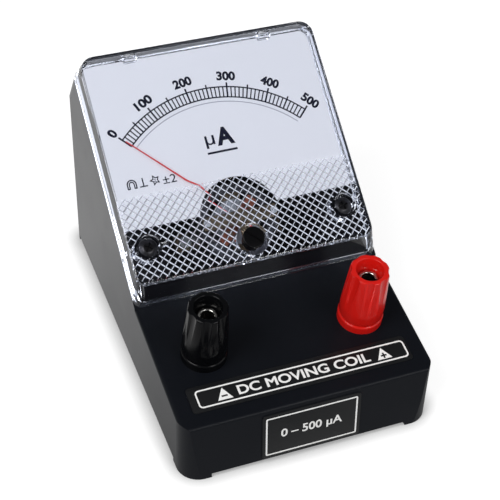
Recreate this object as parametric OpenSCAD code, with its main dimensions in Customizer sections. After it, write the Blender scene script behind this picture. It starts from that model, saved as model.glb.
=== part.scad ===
// Analogue desk meter: wedge stand, clear cover, moving-coil movement and two binding posts.
// Millimetres, +Z up, front towards -Y, resting face at Z = 0, centred on X and Y.

/* [Case] */
// Width of the case
case_w = 82; // [76:0.5:100]
// Wall of the case moulding
wall = 2.5; // [2:0.1:3.2]
// Height of the front edge of the deck
front_h = 21.5; // [19:0.5:28]
// Backward lean of the front face
front_lean = 1.6; // [0.8:0.1:2.5]
// Slope of the deck in degrees
deck_tilt = 9.1; // [6:0.1:12]
// Distance from the front to the lower wall of the cover
deck_run = 48; // [46:0.5:60]
// Distance from the top of the rim to the rear wall
back_run = 9.7; // [7:0.1:14]
// Plan radius of the front corners
front_r = 7; // [4:0.5:9]
// Plan radius of the rear corners
rear_r = 4.5; // [3:0.5:8]
// Radius of the ridge between the top and the rear wall
ridge_r = 7; // [3:0.5:9]
// Radius of the front edge of the deck
edge_r = 1.2; // [0.6:0.1:2]
// Radius of the upper corners of the case and the cover
corner_r = 4.5; // [3:0.5:7]
// Thickness of the rim that carries the movement tray
rim_t = 3.2; // [2.8:0.1:4]
// Height of the relief between the corner feet
foot_h = 1.5; // [0.8:0.1:2.2]
// Length of a front foot across the case
foot_w = 9; // [7:0.5:14]
// Length of a front foot along the side
foot_l = 10; // [8:0.5:14]
// Length of a rear foot along the side
rear_foot_l = 5; // [4:0.5:9]

/* [Base plate] */
// Height of the underside of the base plate
base_z = 2.4; // [2.3:0.1:4]
// Thickness of the base plate
base_t = 1.8; // [1.2:0.1:3]
// Diameter of the screw bosses in the case
boss_d = 8; // [6.5:0.5:10]
// Height of the screw bosses above the base plate
boss_h = 10; // [8:0.5:12]
// Diameter of the base screws
base_screw_d = 3; // [2.5:0.5:4]
// Head diameter of the base screws
base_head_d = 5.6; // [5:0.2:7]
// Head height of the base screws
base_head_h = 1.7; // [1.2:0.1:2]
// Bite of the screw bosses into the side walls
boss_bite = 0.8; // [0.5:0.1:1.2]
// Length of the base screws in their bosses
base_grip = 6; // [4:0.5:8]

/* [Meter face] */
// Slope of the meter face in degrees
face_tilt = 35.2; // [30:0.2:42]
// Length of the meter face along its slope
face_len = 75.6; // [72:0.2:90]
// Height of the upright lower wall of the cover
lip_h = 9.6; // [9:0.1:12]

/* [Cover] */
// Thickness of the cover's side walls
cover_wall = 1.2; // [1:0.1:2.4]
// Thickness of the cover's front
cover_front = 1.5; // [1.2:0.1:2.5]
// Inward taper of the side walls at the front
cover_draft = 1.5; // [0.4:0.1:2.2]
// Plan radius of the cover's lower corners
lip_r = 2.5; // [2.2:0.1:4]
// Distance of the top lugs from the middle
lug_x = 22.9; // [15:0.1:30]
// Width of a top lug
lug_w = 4; // [2:0.5:6]
// Drop of a top lug below the top wall
lug_drop = 1.4; // [0.8:0.1:2]
// Depth of a top lug below the front
lug_h = 2.9; // [2:0.1:4]

/* [Cover screws] */
// Distance of the cover screws from the middle
cs_x = 32.9; // [32:0.1:34]
// Distance of the cover screws up the face
cs_s = 11.5; // [9:0.1:13]
// Diameter of the screw bosses in the cover
cs_boss_d = 8.4; // [8.2:0.1:10.4]
// Diameter of the screw wells in the cover
cs_well_d = 7.2; // [6.8:0.1:7.6]
// Thickness left under the screw wells
cs_floor = 3.2; // [2:0.1:4]
// Head diameter of the cover screws
cs_head_d = 6.2; // [5:0.1:6.6]
// Head height of the cover screws
cs_head_h = 2.4; // [1.5:0.1:3]
// Diameter of the cover screws
cs_d = 3; // [2.5:0.1:3.5]
// Length of the cover screws below the rim
cs_grip = 9; // [7:0.5:10]
// Wall of the screw bosses in the case
cs_case_wall = 2.2; // [1.8:0.1:3]
// Thickness of the ribs from the bosses to the side walls
cs_rib = 1.2; // [0.8:0.1:2]
// Depth of those ribs below the front
cs_rib_h = 3.4; // [2:0.1:4]

/* [Zero adjuster] */
// Distance of the zero adjuster up the face
zero_s = 6.9; // [6.5:0.1:7.4]
// Head diameter of the zero adjuster
zero_head_d = 7.1; // [6:0.1:8]
// Height of the zero adjuster's head above the face
zero_head_h = 0.9; // [0.5:0.1:1.5]
// Shank diameter of the zero adjuster
zero_shank_d = 4; // [3:0.1:4.6]
// Diameter of the boss round the zero adjuster
zero_boss_d = 10.4; // [9.6:0.1:11]
// Depth of the boss below the face
zero_boss_l = 4.9; // [4:0.1:5.2]
// Diameter of the retaining collar behind the boss
zero_collar_d = 6; // [5.5:0.1:7]
// Thickness of the retaining collar
zero_collar_t = 0.8; // [0.6:0.1:1]
// Diameter of the eccentric pin
zero_pin_d = 1.2; // [1:0.1:1.5]
// Eccentricity of the pin
zero_ecc = 0.9; // [0.6:0.1:1.1]
// Width of the screwdriver slot
zero_slot_w = 0.9; // [0.6:0.1:1.2]
// Depth of the screwdriver slot
zero_slot_l = 0.5; // [0.3:0.1:0.6]

/* [Movement tray] */
// Thickness of the tray's flange
flange_t = 1.4; // [1:0.1:1.8]
// Width of the tray behind the rim
tray_w = 57; // [48:0.5:58]
// Step from the end of the flange to the tray
tray_step = 2.8; // [2:0.1:3.2]
// Wall of the tray
tray_wall = 1.6; // [1.2:0.1:2]
// Depth of the shallow part of the tray
tray_shallow = 6; // [4:0.5:10]
// Distance from the pivot to the upper end of the pocket
pocket_up = 17; // [15:0.5:20]
// Clearance between the tray and the screw bosses in the case
tray_gap = 0.5; // [0.4:0.05:0.7]
// Distance of the lead terminals from the middle
term_x = 12; // [8:0.5:18]
// Distance of the lead terminals above the pivot
term_s = 13; // [12:0.5:14]
// Diameter of the lead terminals
term_d = 1.6; // [1.2:0.1:2]
// Length of the lead terminals behind the tray
term_l = 4; // [3:0.5:6]
// Diameter of the leads
lead_d = 1.2; // [1:0.1:1.6]
// Diameter of the beads at the ends and bends of the leads
bead_d = 1.6; // [1.4:0.1:2]

/* [Dial] */
// Thickness of the dial plate
dial_t = 0.5; // [0.3:0.1:0.8]
// Gap between the dial plate and the inside of the cover
dial_gap = 0.3; // [0.2:0.1:1]
// Height of the dial's lower edge above the pivot
dial_low = 2.8; // [2:0.1:5]
// Distance of the pivot up the face
pivot_s = 16.1; // [15.8:0.1:17]
// Radius of the dial's cut-out for the movement
dial_cut_r = 13.4; // [13.2:0.1:15]
// Radius of the dial plate's lower corners
dial_r = 1.5; // [0.5:0.1:3]
// Half angle of the scale in degrees
scale_half = 44.1; // [40:0.1:46]

/* [Movement] */
// Depth of the yoke ring's top below the rim
ring_drop = 5.2; // [5:0.1:6]
// Bore of the yoke ring
ring_id = 19.8; // [19.4:0.1:21]
// Thickness of the yoke ring
ring_t = 2.9; // [2.4:0.1:3.2]
// Height of the yoke ring
ring_h = 14.6; // [14:0.1:17]
// Diameter of the core magnet
core_d = 15.4; // [14:0.1:15.6]
// Height of the core magnet
core_h = 10.8; // [9:0.1:11]
// Depth of the core's top below the yoke ring's top
core_drop = 0.6; // [0.4:0.1:1]
// Thickness of the movement frame's disc
disc_t = 1.4; // [1:0.1:2]
// Half angle of the frame's pillars in degrees
pillar_half = 22; // [15:1:26]
// Reach of the frame's ears from the middle
ear_reach = 18.6; // [18:0.1:20]
// Width of the frame's ears
ear_w = 6; // [5:0.1:7]
// Diameter of the frame screws
frame_screw_d = 2.5; // [2:0.1:3]
// Head diameter of the frame screws
frame_head_d = 4; // [3.4:0.1:4.4]
// Head height of the frame and bridge screws
frame_head_h = 1; // [0.8:0.1:1.2]

/* [Moving coil] */
// Clearance between the core and the coil former
coil_gap = 0.45; // [0.3:0.05:0.5]
// Thickness of the coil former
former_t = 0.4; // [0.3:0.05:0.5]
// Thickness of the winding
winding_t = 0.8; // [0.5:0.05:0.9]
// Width of the coil
coil_w = 3.2; // [2.4:0.1:3.6]
// Diameter of the pivot shafts
shaft_d = 1; // [0.8:0.1:1.2]

/* [Bridge and hairsprings] */
// Thickness of the bridge
bridge_t = 1.2; // [1:0.1:1.4]
// Width of the bridge
bridge_w = 4.4; // [4:0.1:5]
// Clear height under the bridge above the coil
bridge_clear = 2.2; // [2.1:0.1:2.6]
// Diameter of the bridge screws
bridge_screw_d = 1.2; // [1:0.1:1.4]
// Head diameter of the bridge screws
bridge_head_d = 2.4; // [2:0.1:2.6]
// Inset of the bridge's feet from the edges of the yoke ring
foot_inset = 0.2; // [0.1:0.05:0.3]
// Depth of the jewel seats
seat_l = 0.6; // [0.4:0.05:0.8]
// Diameter of the jewel screws
jewel_d = 3; // [2.6:0.1:3.4]
// Height of the jewel screw above the bridge
jewel_h = 0.9; // [0.8:0.1:1.2]
// Thickness of the zero lever
lever_t = 0.6; // [0.5:0.05:0.7]
// Gap between the bridge and the zero lever
lever_gap = 0.1; // [0.05:0.05:0.2]
// Width of the lever's ring round the jewel screw
lever_ring = 1.2; // [0.9:0.1:1.5]
// Reach of the lever's fork beyond the pin
fork_l = 1.6; // [1.2:0.1:2]
// Width of the zero lever
lever_w = 3; // [2.6:0.1:3.4]
// Gap between a hairspring and what turns beside it
spring_gap = 0.4; // [0.3:0.05:0.5]
// Thickness of the hairspring anchors
anchor_d = 1; // [0.8:0.1:1.2]
// Depth of the hairspring ribbon
spring_w = 0.3; // [0.2:0.05:0.4]
// Thickness of the hairspring ribbon
spring_t = 0.2; // [0.15:0.05:0.3]
// Pitch of the hairspring
spring_pitch = 0.75; // [0.6:0.05:0.9]
// Number of hairspring turns
spring_turns = 4; // [2:1:4]
// Diameter of the hairspring collets
collet_d = 2.6; // [2.2:0.1:3]

/* [Pointer] */
// Reach of the pointer from the pivot
pointer_r = 43.6; // [40:0.1:45]
// Height of the blade above the dial
pointer_lift = 0.7; // [0.5:0.1:1]
// Thickness of the pointer
pointer_t = 0.25; // [0.2:0.05:0.4]
// Width of the pointer at its tip
pointer_tip = 0.3; // [0.2:0.05:0.8]
// Width of the pointer at its root
pointer_root = 0.5; // [0.4:0.1:1.6]
// Radius where the blade starts to climb
climb_out = 20.7; // [19:0.1:22]
// Radius of the top of the climb
climb_in = 16.6; // [15:0.1:17]
// Height of the climb above the blade
climb_h = 2.6; // [1.5:0.1:2.8]
// Radius where the arm drops into the movement
drop_r = 11.6; // [11:0.1:12]
// Diameter of the pointer's hub
hub_d = 4.4; // [3.6:0.1:5]
// Height of the pointer's hub
hub_h = 0.8; // [0.7:0.05:1]
// Gap between the coil and the pointer's hub
hub_gap = 0.2; // [0.15:0.05:0.3]
// Length of the side balance arms
arm_l = 6.6; // [5:0.1:7]
// Length of the tail
tail_l = 8.6; // [8.2:0.1:9]
// Diameter of the balance weights
weight_d = 1.8; // [1.2:0.1:2.2]
// Height of the side weights
weight_h = 0.5; // [0.3:0.05:0.6]
// Height of the tail weight
tail_h = 1.6; // [1:0.1:1.8]

/* [Binding posts] */
// Distance of the posts from the middle
post_x = 25.8; // [22:0.1:30]
// Distance of the posts up the deck
post_s = 25; // [23:0.1:32]
// Diameter of the insulating collars
collar_d = 14.4; // [13.6:0.1:16]
// Height of the insulating collars
collar_h = 3; // [2:0.1:4]
// Edge radius of the collars and caps
knob_r = 0.7; // [0.4:0.1:0.9]
// Diameter of the collar's spigot in the deck
spigot_d = 9; // [8.4:0.1:10]
// Diameter of the studs
stud_d = 6.2; // [6:0.1:6.6]
// Height of the studs above the deck
stud_h = 19; // [17:0.1:22]
// Length of the studs below the deck
stud_low = 12; // [11.5:0.1:14]
// Diameter of the plug sockets in the studs
socket_d = 4; // [3.9:0.05:4.2]
// Depth of the plug sockets
socket_l = 13.5; // [10:0.1:14]
// Diameter of the clamping shoulder on the studs
shoulder_d = 9.2; // [8.8:0.1:9.4]
// Height of the clamping shoulder
shoulder_h = 1.1; // [0.8:0.1:1.4]
// Outer diameter of the threaded inserts
insert_d = 8.4; // [8:0.1:8.8]
// Length of the threaded inserts
insert_l = 9.7; // [8:0.1:10.5]
// Diameter of the caps at their foot
cap_d = 14; // [13.2:0.1:15]
// Diameter of the caps at their top
cap_top_d = 12.2; // [11.8:0.1:13]
// Height of the cap tops above the deck
cap_h = 23; // [22:0.1:26]
// Height where the caps start to taper
cap_skirt = 7.5; // [6.5:0.1:9]
// Diameter of the caps' top opening
cap_mouth = 8.7; // [8:0.1:9]
// Depth of the caps' top opening above the stud
cap_recess = 3.6; // [3:0.1:4.5]
// Number of flutes on a cap
flutes = 8; // [6:1:10]
// Radius of a flute
flute_r = 3.4; // [3:0.1:4]
// Depth of a flute at the top of the cap
flute_in = 0.6; // [0.3:0.05:0.7]
// Height where the flutes run out
flute_foot = 8.5; // [8:0.1:11]
// Thickness of the insulating washers under the deck
under_t = 1.5; // [1:0.1:2]
// Diameter of the insulating washers under the deck
under_d = 12; // [11:0.1:13]
// Thickness of the solder tags
tag_t = 0.5; // [0.4:0.1:0.8]
// Reach of the solder tags from the studs
tag_l = 10; // [9:0.5:13]
// Width of the solder tags' tongues
tag_w = 4; // [3:0.1:5]
// Height of the stud nuts
nut_h = 4.5; // [3:0.1:5]
// Width of the stud nuts across their corners
nut_d = 11.5; // [11:0.1:12.5]

/* [Labels] */
// Length of the deck label
deck_label_w = 71.2; // [60:0.2:72]
// Width of the deck label along the deck
deck_label_l = 9.2; // [7:0.2:10]
// Distance of the deck label from the deck's front edge
deck_label_s = 4.8; // [3:0.1:6]
// Width of the front label
front_label_w = 32; // [24:0.5:44]
// Height of the front label
front_label_h = 17.6; // [12:0.1:17.8]
// Height of the front label's lower edge
front_label_z = 2; // [1.8:0.1:2.2]
// Thickness of the labels
label_t = 0.4; // [0.2:0.05:0.6]
// Corner radius of the labels
label_r = 1.2; // [0.5:0.1:2]

/* [Fits] */
// Seat clearance between fixed pieces
fit = 0.25; // [0.15:0.05:0.35]
// Radial running clearance
run = 0.05; // [0.02:0.01:0.08]
// Radial clearance of glued or threaded pieces
glue = 0.03; // [0.02:0.01:0.06]
// Gap between pieces that move past each other
gap = 0.35; // [0.3:0.05:0.45]

/* [Hidden] */
$fn = 64;
far = 300;
// Overrun of cutting shapes past the faces they cut
cut = 1;
// Cover depth follows from the lip, so that the rim meets the deck at the lip
cover_depth = lip_h * cos(face_tilt);
lip_s = -lip_h * sin(face_tilt);
case_d = deck_run + face_len * cos(face_tilt) + cover_depth * sin(face_tilt) + back_run;
front_y = -case_d / 2;
rear_y = case_d / 2;
deck_y0 = front_y + front_lean;
lip_y = front_y + deck_run;
lip_z = front_h + (deck_run - front_lean) * tan(deck_tilt);
face_z = lip_z + lip_h;
front_angle = atan2(front_h, front_lean);
ridge_z = fz(face_len, -cover_depth) - back_run / tan(face_tilt);
rim_n = -cover_depth;
under_n = rim_n - rim_t;
base_top = base_z + base_t;
boss_x = case_w / 2 - wall - boss_d / 2 + boss_bite;
boss_y1 = front_y + wall + boss_d / 2 + boss_bite;
boss_y2 = rear_y - wall - boss_d / 2 + boss_bite;
cs_case_r = cs_d / 2 + cs_case_wall;
// Flange of the tray inside the cover's wall
flange_hw = case_w / 2 - cover_wall - 2 * fit;
flange_s0 = lip_s + (cover_wall + 2 * fit) / cos(face_tilt);
flange_s1 = face_len - cover_wall - 2 * fit;
tray_s0 = flange_s0 + tray_step;
tray_s1 = flange_s1 - tray_step;
ring_top = rim_n - ring_drop;
ring_low = ring_top - ring_h;
disc_low = ring_low - disc_t;
core_top = ring_top - core_drop;
core_low = core_top - core_h;
dial_top = rim_n + dial_t;
dial_hw = case_w / 2 - cover_wall - cover_draft * dial_t / cover_depth - dial_gap;
dial_s1 = face_len - cover_wall - dial_gap;
dial_corner_r = corner_r - cover_wall;
// Coil and movement levels
former_x = core_d / 2 + coil_gap + former_t;
former_top = core_top + coil_gap + former_t;
former_low = core_low - coil_gap - former_t;
wind_x = former_x + winding_t;
wind_top = former_top + winding_t;
wind_low = former_low - winding_t;
hub_low = wind_top + hub_gap;
hub_top = hub_low + hub_h;
bridge_low = wind_top + bridge_clear;
bridge_top = bridge_low + bridge_t;
bridge_x = ring_id / 2 + ring_t / 2;
lever_low = bridge_top + lever_gap;
lever_top = lever_low + lever_t;
spring_r = collet_d / 2 + spring_pitch * spring_turns / 2 + spring_t;
spring_top_n = hub_top + spring_gap;
spring_low_n = wind_low - spring_gap - spring_w;
blade_n = dial_top + pointer_lift;
frame_x = ring_id / 2 + ring_t + frame_head_d / 2 + gap;
// Binding post levels above the deck
cap_low = collar_h + gap;
insert_low = collar_h + shoulder_h + fit;
insert_top = insert_low + insert_l;
cap_wide = cap_d / 2;
cap_narrow = cap_top_d / 2;
mouth_low = cap_h - cap_recess;
flute_top_axis = cap_narrow + flute_r - flute_in;
flute_low_axis = cap_wide - (cap_wide - cap_narrow) * (flute_foot - cap_skirt) / (cap_h - cap_skirt) + flute_r;

// Point of the meter face frame in the side view
function fy(s, n) = lip_y + s * cos(face_tilt) - n * sin(face_tilt);
function fz(s, n) = face_z + s * sin(face_tilt) + n * cos(face_tilt);
function unit(v) = v / norm(v);
// Tangent length of a fillet between two edges that meet at p
function tangent(a, p, b, r) = r * tan((180 - acos(unit(a - p) * unit(b - p))) / 2);
function centre(a, p, b, r) =
    p + unit(unit(a - p) + unit(b - p)) * r / sin(acos(unit(a - p) * unit(b - p)) / 2);

// Outline with rounded convex corners
module rounded(pts, radii) {
    n = len(pts);
    polygon([for (i = [0:n - 1]) let (p = pts[i], a = pts[(i + n - 1) % n], b = pts[(i + 1) % n], r = radii[i])
        each (r > 0 ? [p + unit(a - p) * tangent(a, p, b, r), p + unit(b - p) * tangent(a, p, b, r)] : [p])]);
    for (i = [0:n - 1]) {
        if (radii[i] > 0) {
            translate(centre(pts[(i + n - 1) % n], pts[i], pts[(i + 1) % n], radii[i])) circle(r = radii[i]);
        }
    }
}

// Box outline from low to high corner with its own corner radii
module panel(x0, y0, x1, y1, radii) {
    rounded([[x0, y0], [x1, y0], [x1, y1], [x0, y1]], radii);
}

// Frame of the meter face: X right, Y up the slope, Z out of the face
module face() {
    translate([0, lip_y, face_z]) rotate([face_tilt, 0, 0]) children();
}

// Frame of the deck: X right, Y up the deck, Z out of the deck
module deck() {
    translate([0, deck_y0, front_h]) rotate([deck_tilt, 0, 0]) children();
}

// Frame of the leaning front face: X right, Y up, Z out of the face
module front() {
    translate([0, front_y, 0]) rotate([front_angle, 0, 0]) children();
}

// Frame of the movement's axis, at its zero position
module moving() {
    face() translate([0, pivot_s, 0]) rotate([0, 0, scale_half]) children();
}

module pivot() {
    face() translate([0, pivot_s, 0]) children();
}

module side_extrude(w) {
    translate([-w / 2, 0, 0]) rotate([90, 0, 90]) linear_extrude(w) children();
}

module slab(x0, y0, z0, x1, y1, z1) {
    translate([x0, y0, z0]) cube([x1 - x0, y1 - y0, z1 - z0]);
}

module disc(z0, z1, r) {
    translate([0, 0, z0]) cylinder(h = z1 - z0, r = r);
}

module ring(z0, z1, r0, r1) {
    difference() {
        disc(z0, z1, r1);
        disc(z0 - cut, z1 + cut, r0);
    }
}

module mirrored_x() {
    children();
    mirror([1, 0, 0]) children();
}

// Case: side profile, plan outline and face outline cut each other
module case_outer() {
    intersection() {
        side_extrude(case_w) rounded([[front_y, 0], [rear_y, 0], [rear_y, ridge_z],
            [fy(face_len, rim_n), fz(face_len, rim_n)], [lip_y, lip_z], [deck_y0, front_h]],
            [0, 0, ridge_r, 0, 0, edge_r]);
        linear_extrude(far) panel(-case_w / 2, front_y, case_w / 2, rear_y, [front_r, front_r, rear_r, rear_r]);
        face() translate([0, 0, -far]) linear_extrude(far + far)
            panel(-case_w / 2, -far, case_w / 2, face_len, [0, 0, corner_r, corner_r]);
        union() {
            deck() translate([0, far, 0]) rotate([90, 0, 0]) linear_extrude(2 * far)
                panel(-case_w / 2, -far, case_w / 2, 0, [0, 0, edge_r, edge_r]);
            slab(-far, lip_y, -far, far, far, far);
        }
    }
}

module case_inner() {
    top_s = face_len - wall;
    top_n = (lip_y + top_s * cos(face_tilt) - (rear_y - wall)) / sin(face_tilt);
    deck_in = front_h - wall / cos(deck_tilt);
    low_s = (deck_in + (fy(0, under_n) - deck_y0) * tan(deck_tilt) - fz(0, under_n))
        / (sin(face_tilt) - cos(face_tilt) * tan(deck_tilt));
    intersection() {
        side_extrude(case_w - 2 * wall) polygon([[front_y + wall, -cut], [rear_y - wall, -cut],
            [rear_y - wall, fz(top_s, top_n)], [fy(top_s, under_n), fz(top_s, under_n)],
            [fy(low_s, under_n), fz(low_s, under_n)], [deck_y0 + wall, deck_in + wall * tan(deck_tilt)]]);
        translate([0, 0, -2 * cut]) linear_extrude(far) panel(-case_w / 2 + wall, front_y + wall,
            case_w / 2 - wall, rear_y - wall, [front_r - wall, front_r - wall, rear_r - wall, rear_r - wall]);
    }
}

module base_points() {
    mirrored_x() {
        translate([boss_x, boss_y1, 0]) children();
        translate([boss_x, boss_y2, 0]) children();
    }
}

module cover_screw_points() {
    face() mirrored_x() translate([cs_x, cs_s, 0]) children();
}

module post_points() {
    deck() mirrored_x() translate([post_x, post_s, 0]) children();
}

module case_shell() {
    color("#24272c") difference() {
        union() {
            difference() {
                case_outer();
                case_inner();
            }
            intersection() {
                case_outer();
                union() {
                    base_points() disc(base_top, base_top + boss_h, boss_d / 2);
                    cover_screw_points() disc(rim_n - flange_t - cs_grip - cut, rim_n, cs_case_r);
                }
            }
        }
        face() {
            slab(-flange_hw - fit, flange_s0 - fit, rim_n - flange_t, flange_hw + fit, flange_s1 + fit, 0);
            difference() {
                slab(-tray_w / 2 - fit, tray_s0 - fit, under_n - wall, tray_w / 2 + fit, tray_s1 + fit, 0);
                mirrored_x() translate([cs_x, cs_s, 0]) disc(under_n - 2 * wall, cut, cs_case_r);
            }
        }
        cover_screw_points() disc(rim_n - flange_t - cs_grip - cut / 2, 0, cs_d / 2 + run);
        base_points() disc(0, base_top + base_grip + cut / 2, base_screw_d / 2 + run);
        post_points() disc(-3 * wall, collar_h, spigot_d / 2 + run);
        slab(-case_w / 2 + foot_w, front_y - cut, -cut, case_w / 2 - foot_w, rear_y + cut, foot_h);
        slab(-case_w, front_y + foot_l, -cut, case_w, rear_y - rear_foot_l, foot_h);
    }
}

module base_plate() {
    front_in = front_y + wall + front_lean * base_top / front_h + fit;
    r_front = front_r - wall;
    r_rear = rear_r - wall;
    color("#2c2f33") difference() {
        translate([0, 0, base_z]) linear_extrude(base_t) panel(-case_w / 2 + wall + fit, front_in,
            case_w / 2 - wall - fit, rear_y - wall - fit, [r_front, r_front, r_rear, r_rear]);
        base_points() disc(base_z - cut, base_top + cut, base_screw_d / 2 + fit);
    }
}

module base_screws() {
    color("#9a9da1") base_points() union() {
        disc(base_z - base_head_h, base_z, base_head_d / 2);
        disc(base_z - base_head_h / 2, base_top + base_grip, base_screw_d / 2);
    }
}

// Movement tray: flange, shallow upper part and deep pocket round the movement
module movement_tray() {
    pocket_s1 = pivot_s + pocket_up;
    shallow_n = rim_n - flange_t - tray_shallow;
    inner_hw = tray_w / 2 - tray_wall;
    color("#17181a") face() difference() {
        union() {
            slab(-flange_hw, flange_s0, rim_n - flange_t, flange_hw, flange_s1, rim_n);
            slab(-tray_w / 2, tray_s0, shallow_n - tray_wall, tray_w / 2, tray_s1, rim_n);
            slab(-tray_w / 2, tray_s0, disc_low - tray_wall, tray_w / 2, pocket_s1 + tray_wall, rim_n);
        }
        difference() {
            union() {
                slab(-inner_hw, tray_s0 + tray_wall, shallow_n, inner_hw, tray_s1 - tray_wall, 0);
                slab(-inner_hw, tray_s0 + tray_wall, disc_low, inner_hw, pocket_s1, 0);
            }
            mirrored_x() translate([cs_x, cs_s, 0]) disc(disc_low - cut, cut, cs_case_r + tray_gap + tray_wall);
        }
        mirrored_x() {
            translate([cs_x, cs_s, 0]) {
                disc(under_n, 0, cs_d / 2 + fit);
                disc(disc_low - tray_wall - cut, rim_n - flange_t, cs_case_r + tray_gap);
            }
            translate([frame_x, pivot_s, 0])
                disc(disc_low - tray_wall - cut, disc_low + cut, frame_screw_d / 2 + glue);
            translate([term_x, pivot_s + term_s, 0])
                disc(disc_low - tray_wall - cut, disc_low + cut, term_d / 2 + glue);
        }
    }
}

// Pins through the floor of the tray
module lead_terminals() {
    color("#c8cbcf") pivot() mirrored_x() translate([term_x, term_s, 0])
        disc(disc_low - tray_wall - term_l, disc_low + term_d, term_d / 2);
}

// Straight run of lead with a bead at its end
module lead_run(a, b) {
    d = b - a;
    translate(a) rotate([0, acos(d.z / norm(d)), atan2(d.y, d.x)]) cylinder(h = norm(d), d = lead_d);
    translate(b) sphere(d = bead_d);
}

// Leads from the solder tags, under the tray, to its terminals
module leads() {
    tag_s = post_s + tag_l - tag_w / 2;
    tag_n = -wall - under_t - tag_t - bead_d / 2;
    low_s = tray_s0 - 5 * lead_d;
    low_n = disc_low - tray_wall - 3 * lead_d;
    end_s = pivot_s + term_s;
    end_n = disc_low - tray_wall - term_l - bead_d / 2;
    tag = [post_x, deck_y0 + tag_s * cos(deck_tilt) - tag_n * sin(deck_tilt),
        front_h + tag_s * sin(deck_tilt) + tag_n * cos(deck_tilt)];
    low = [(post_x + term_x) / 2, fy(low_s, low_n), fz(low_s, low_n)];
    end = [term_x, fy(end_s, end_n), fz(end_s, end_n)];
    color("#7a1f1f") mirrored_x() union() {
        translate(tag) sphere(d = bead_d);
        lead_run(tag, low);
        lead_run(low, end);
    }
}

module dial_plate() {
    color("#e2e6ee") face() translate([0, 0, rim_n]) linear_extrude(dial_t) difference() {
        panel(-dial_hw, pivot_s + dial_low, dial_hw, dial_s1, [dial_r, dial_r, dial_corner_r, dial_corner_r]);
        translate([0, pivot_s]) circle(r = dial_cut_r);
    }
}

// Outside or inside of the clear cover, drawn in by t
module cover_body(t, t_front, low_n) {
    hw = case_w / 2 - t;
    intersection() {
        face() translate([0, 0, low_n]) linear_extrude(-t_front - low_n)
            panel(-hw, -far, hw, face_len - t, [0, 0, corner_r - t, corner_r - t]);
        face() translate([0, far, 0]) rotate([90, 0, 0]) linear_extrude(2 * far)
            polygon([[-hw + cover_draft, 0], [-hw, rim_n], [-hw, -far], [hw, -far], [hw, rim_n],
                [hw - cover_draft, 0]]);
        linear_extrude(far) panel(-hw, lip_y + t, hw, far, [lip_r - t, lip_r - t, 0, 0]);
    }
}

module front_cover() {
    color("#dfe8f2", 0.35) difference() {
        union() {
            difference() {
                cover_body(0, 0, rim_n);
                cover_body(cover_wall, cover_front, rim_n - cut);
            }
            cover_screw_points() disc(rim_n, 0, cs_boss_d / 2);
            face() {
                translate([0, zero_s, 0]) disc(-zero_boss_l, 0, zero_boss_d / 2);
                mirrored_x() {
                    slab(cs_x, cs_s - cs_rib / 2, -cover_front - cs_rib_h, case_w / 2 - cover_wall,
                        cs_s + cs_rib / 2, -cover_front / 2);
                    translate([lug_x, 0, 0]) slab(-lug_w / 2, face_len - cover_wall - lug_drop,
                        -cover_front - lug_h, lug_w / 2, face_len - cover_wall / 2, -cover_front / 2);
                }
            }
        }
        cover_screw_points() {
            disc(rim_n + cs_floor, cut, cs_well_d / 2);
            disc(rim_n - cut, 0, cs_d / 2 + fit);
        }
        face() translate([0, zero_s, 0]) disc(-zero_boss_l - cut, cut, zero_shank_d / 2 + run);
    }
}

module cover_screws() {
    color("#1b1c1f") cover_screw_points() union() {
        disc(rim_n + cs_floor, rim_n + cs_floor + cs_head_h, cs_head_d / 2);
        disc(rim_n - flange_t - cs_grip, rim_n + cs_floor + cs_head_h / 2, cs_d / 2);
    }
}

module yoke_ring() {
    color("#8b8f94") pivot() ring(ring_low, ring_top, ring_id / 2, ring_id / 2 + ring_t);
}

module core_magnet() {
    color("#5d6166") pivot() disc(core_low, core_top, core_d / 2);
}

// Frame with two pillars in the air gap, clear of the coil's sweep
module core_frame() {
    reach = ring_id;
    color("#b9a26a") pivot() difference() {
        union() {
            disc(disc_low, ring_low, ring_id / 2 + ring_t);
            slab(-ear_reach, -ear_w / 2, disc_low, ear_reach, ear_w / 2, ring_low);
            intersection() {
                ring(disc_low + disc_t / 2, core_top, core_d / 2 + glue, ring_id / 2 - glue);
                for (a = [0, 180]) {
                    rotate([0, 0, a]) translate([0, 0, disc_low]) linear_extrude(far) polygon([[0, 0],
                        [-reach * sin(pillar_half), reach * cos(pillar_half)],
                        [reach * sin(pillar_half), reach * cos(pillar_half)]]);
                }
            }
            translate([0, -spring_r - anchor_d / 2 - 2 * run, 0])
                disc(disc_low + disc_t / 2, spring_low_n + spring_w, anchor_d / 2);
        }
        disc(disc_low - cut, ring_low + cut / 2, jewel_d / 2 + glue);
        mirrored_x() translate([frame_x, 0, 0]) disc(disc_low - cut, ring_low + cut, frame_screw_d / 2 + glue);
    }
}

module frame_screws() {
    color("#a9acb0") pivot() mirrored_x() translate([frame_x, 0, 0]) union() {
        disc(ring_low, ring_low + frame_head_h, frame_head_d / 2);
        disc(disc_low - tray_wall, ring_low + frame_head_h / 2, frame_screw_d / 2);
    }
}

module top_bridge() {
    foot = ring_t - 2 * foot_inset;
    color("#c2b280") pivot() difference() {
        union() {
            slab(-bridge_x, -bridge_w / 2, bridge_low, bridge_x, bridge_w / 2, bridge_top);
            mirrored_x() translate([bridge_x, 0, 0])
                slab(-foot / 2, -bridge_w / 2, ring_top, foot / 2, bridge_w / 2, bridge_top);
        }
        disc(bridge_low - cut, bridge_top + cut, jewel_d / 2 + glue);
        mirrored_x() translate([bridge_x, 0, 0])
            disc(ring_top - cut, bridge_top + cut, bridge_screw_d / 2 + glue);
    }
}

module bridge_screws() {
    color("#a9acb0") pivot() mirrored_x() translate([bridge_x, 0, 0]) union() {
        disc(bridge_top, bridge_top + frame_head_h, bridge_head_d / 2);
        disc(ring_top, bridge_top + frame_head_h / 2, bridge_screw_d / 2);
    }
}

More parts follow.
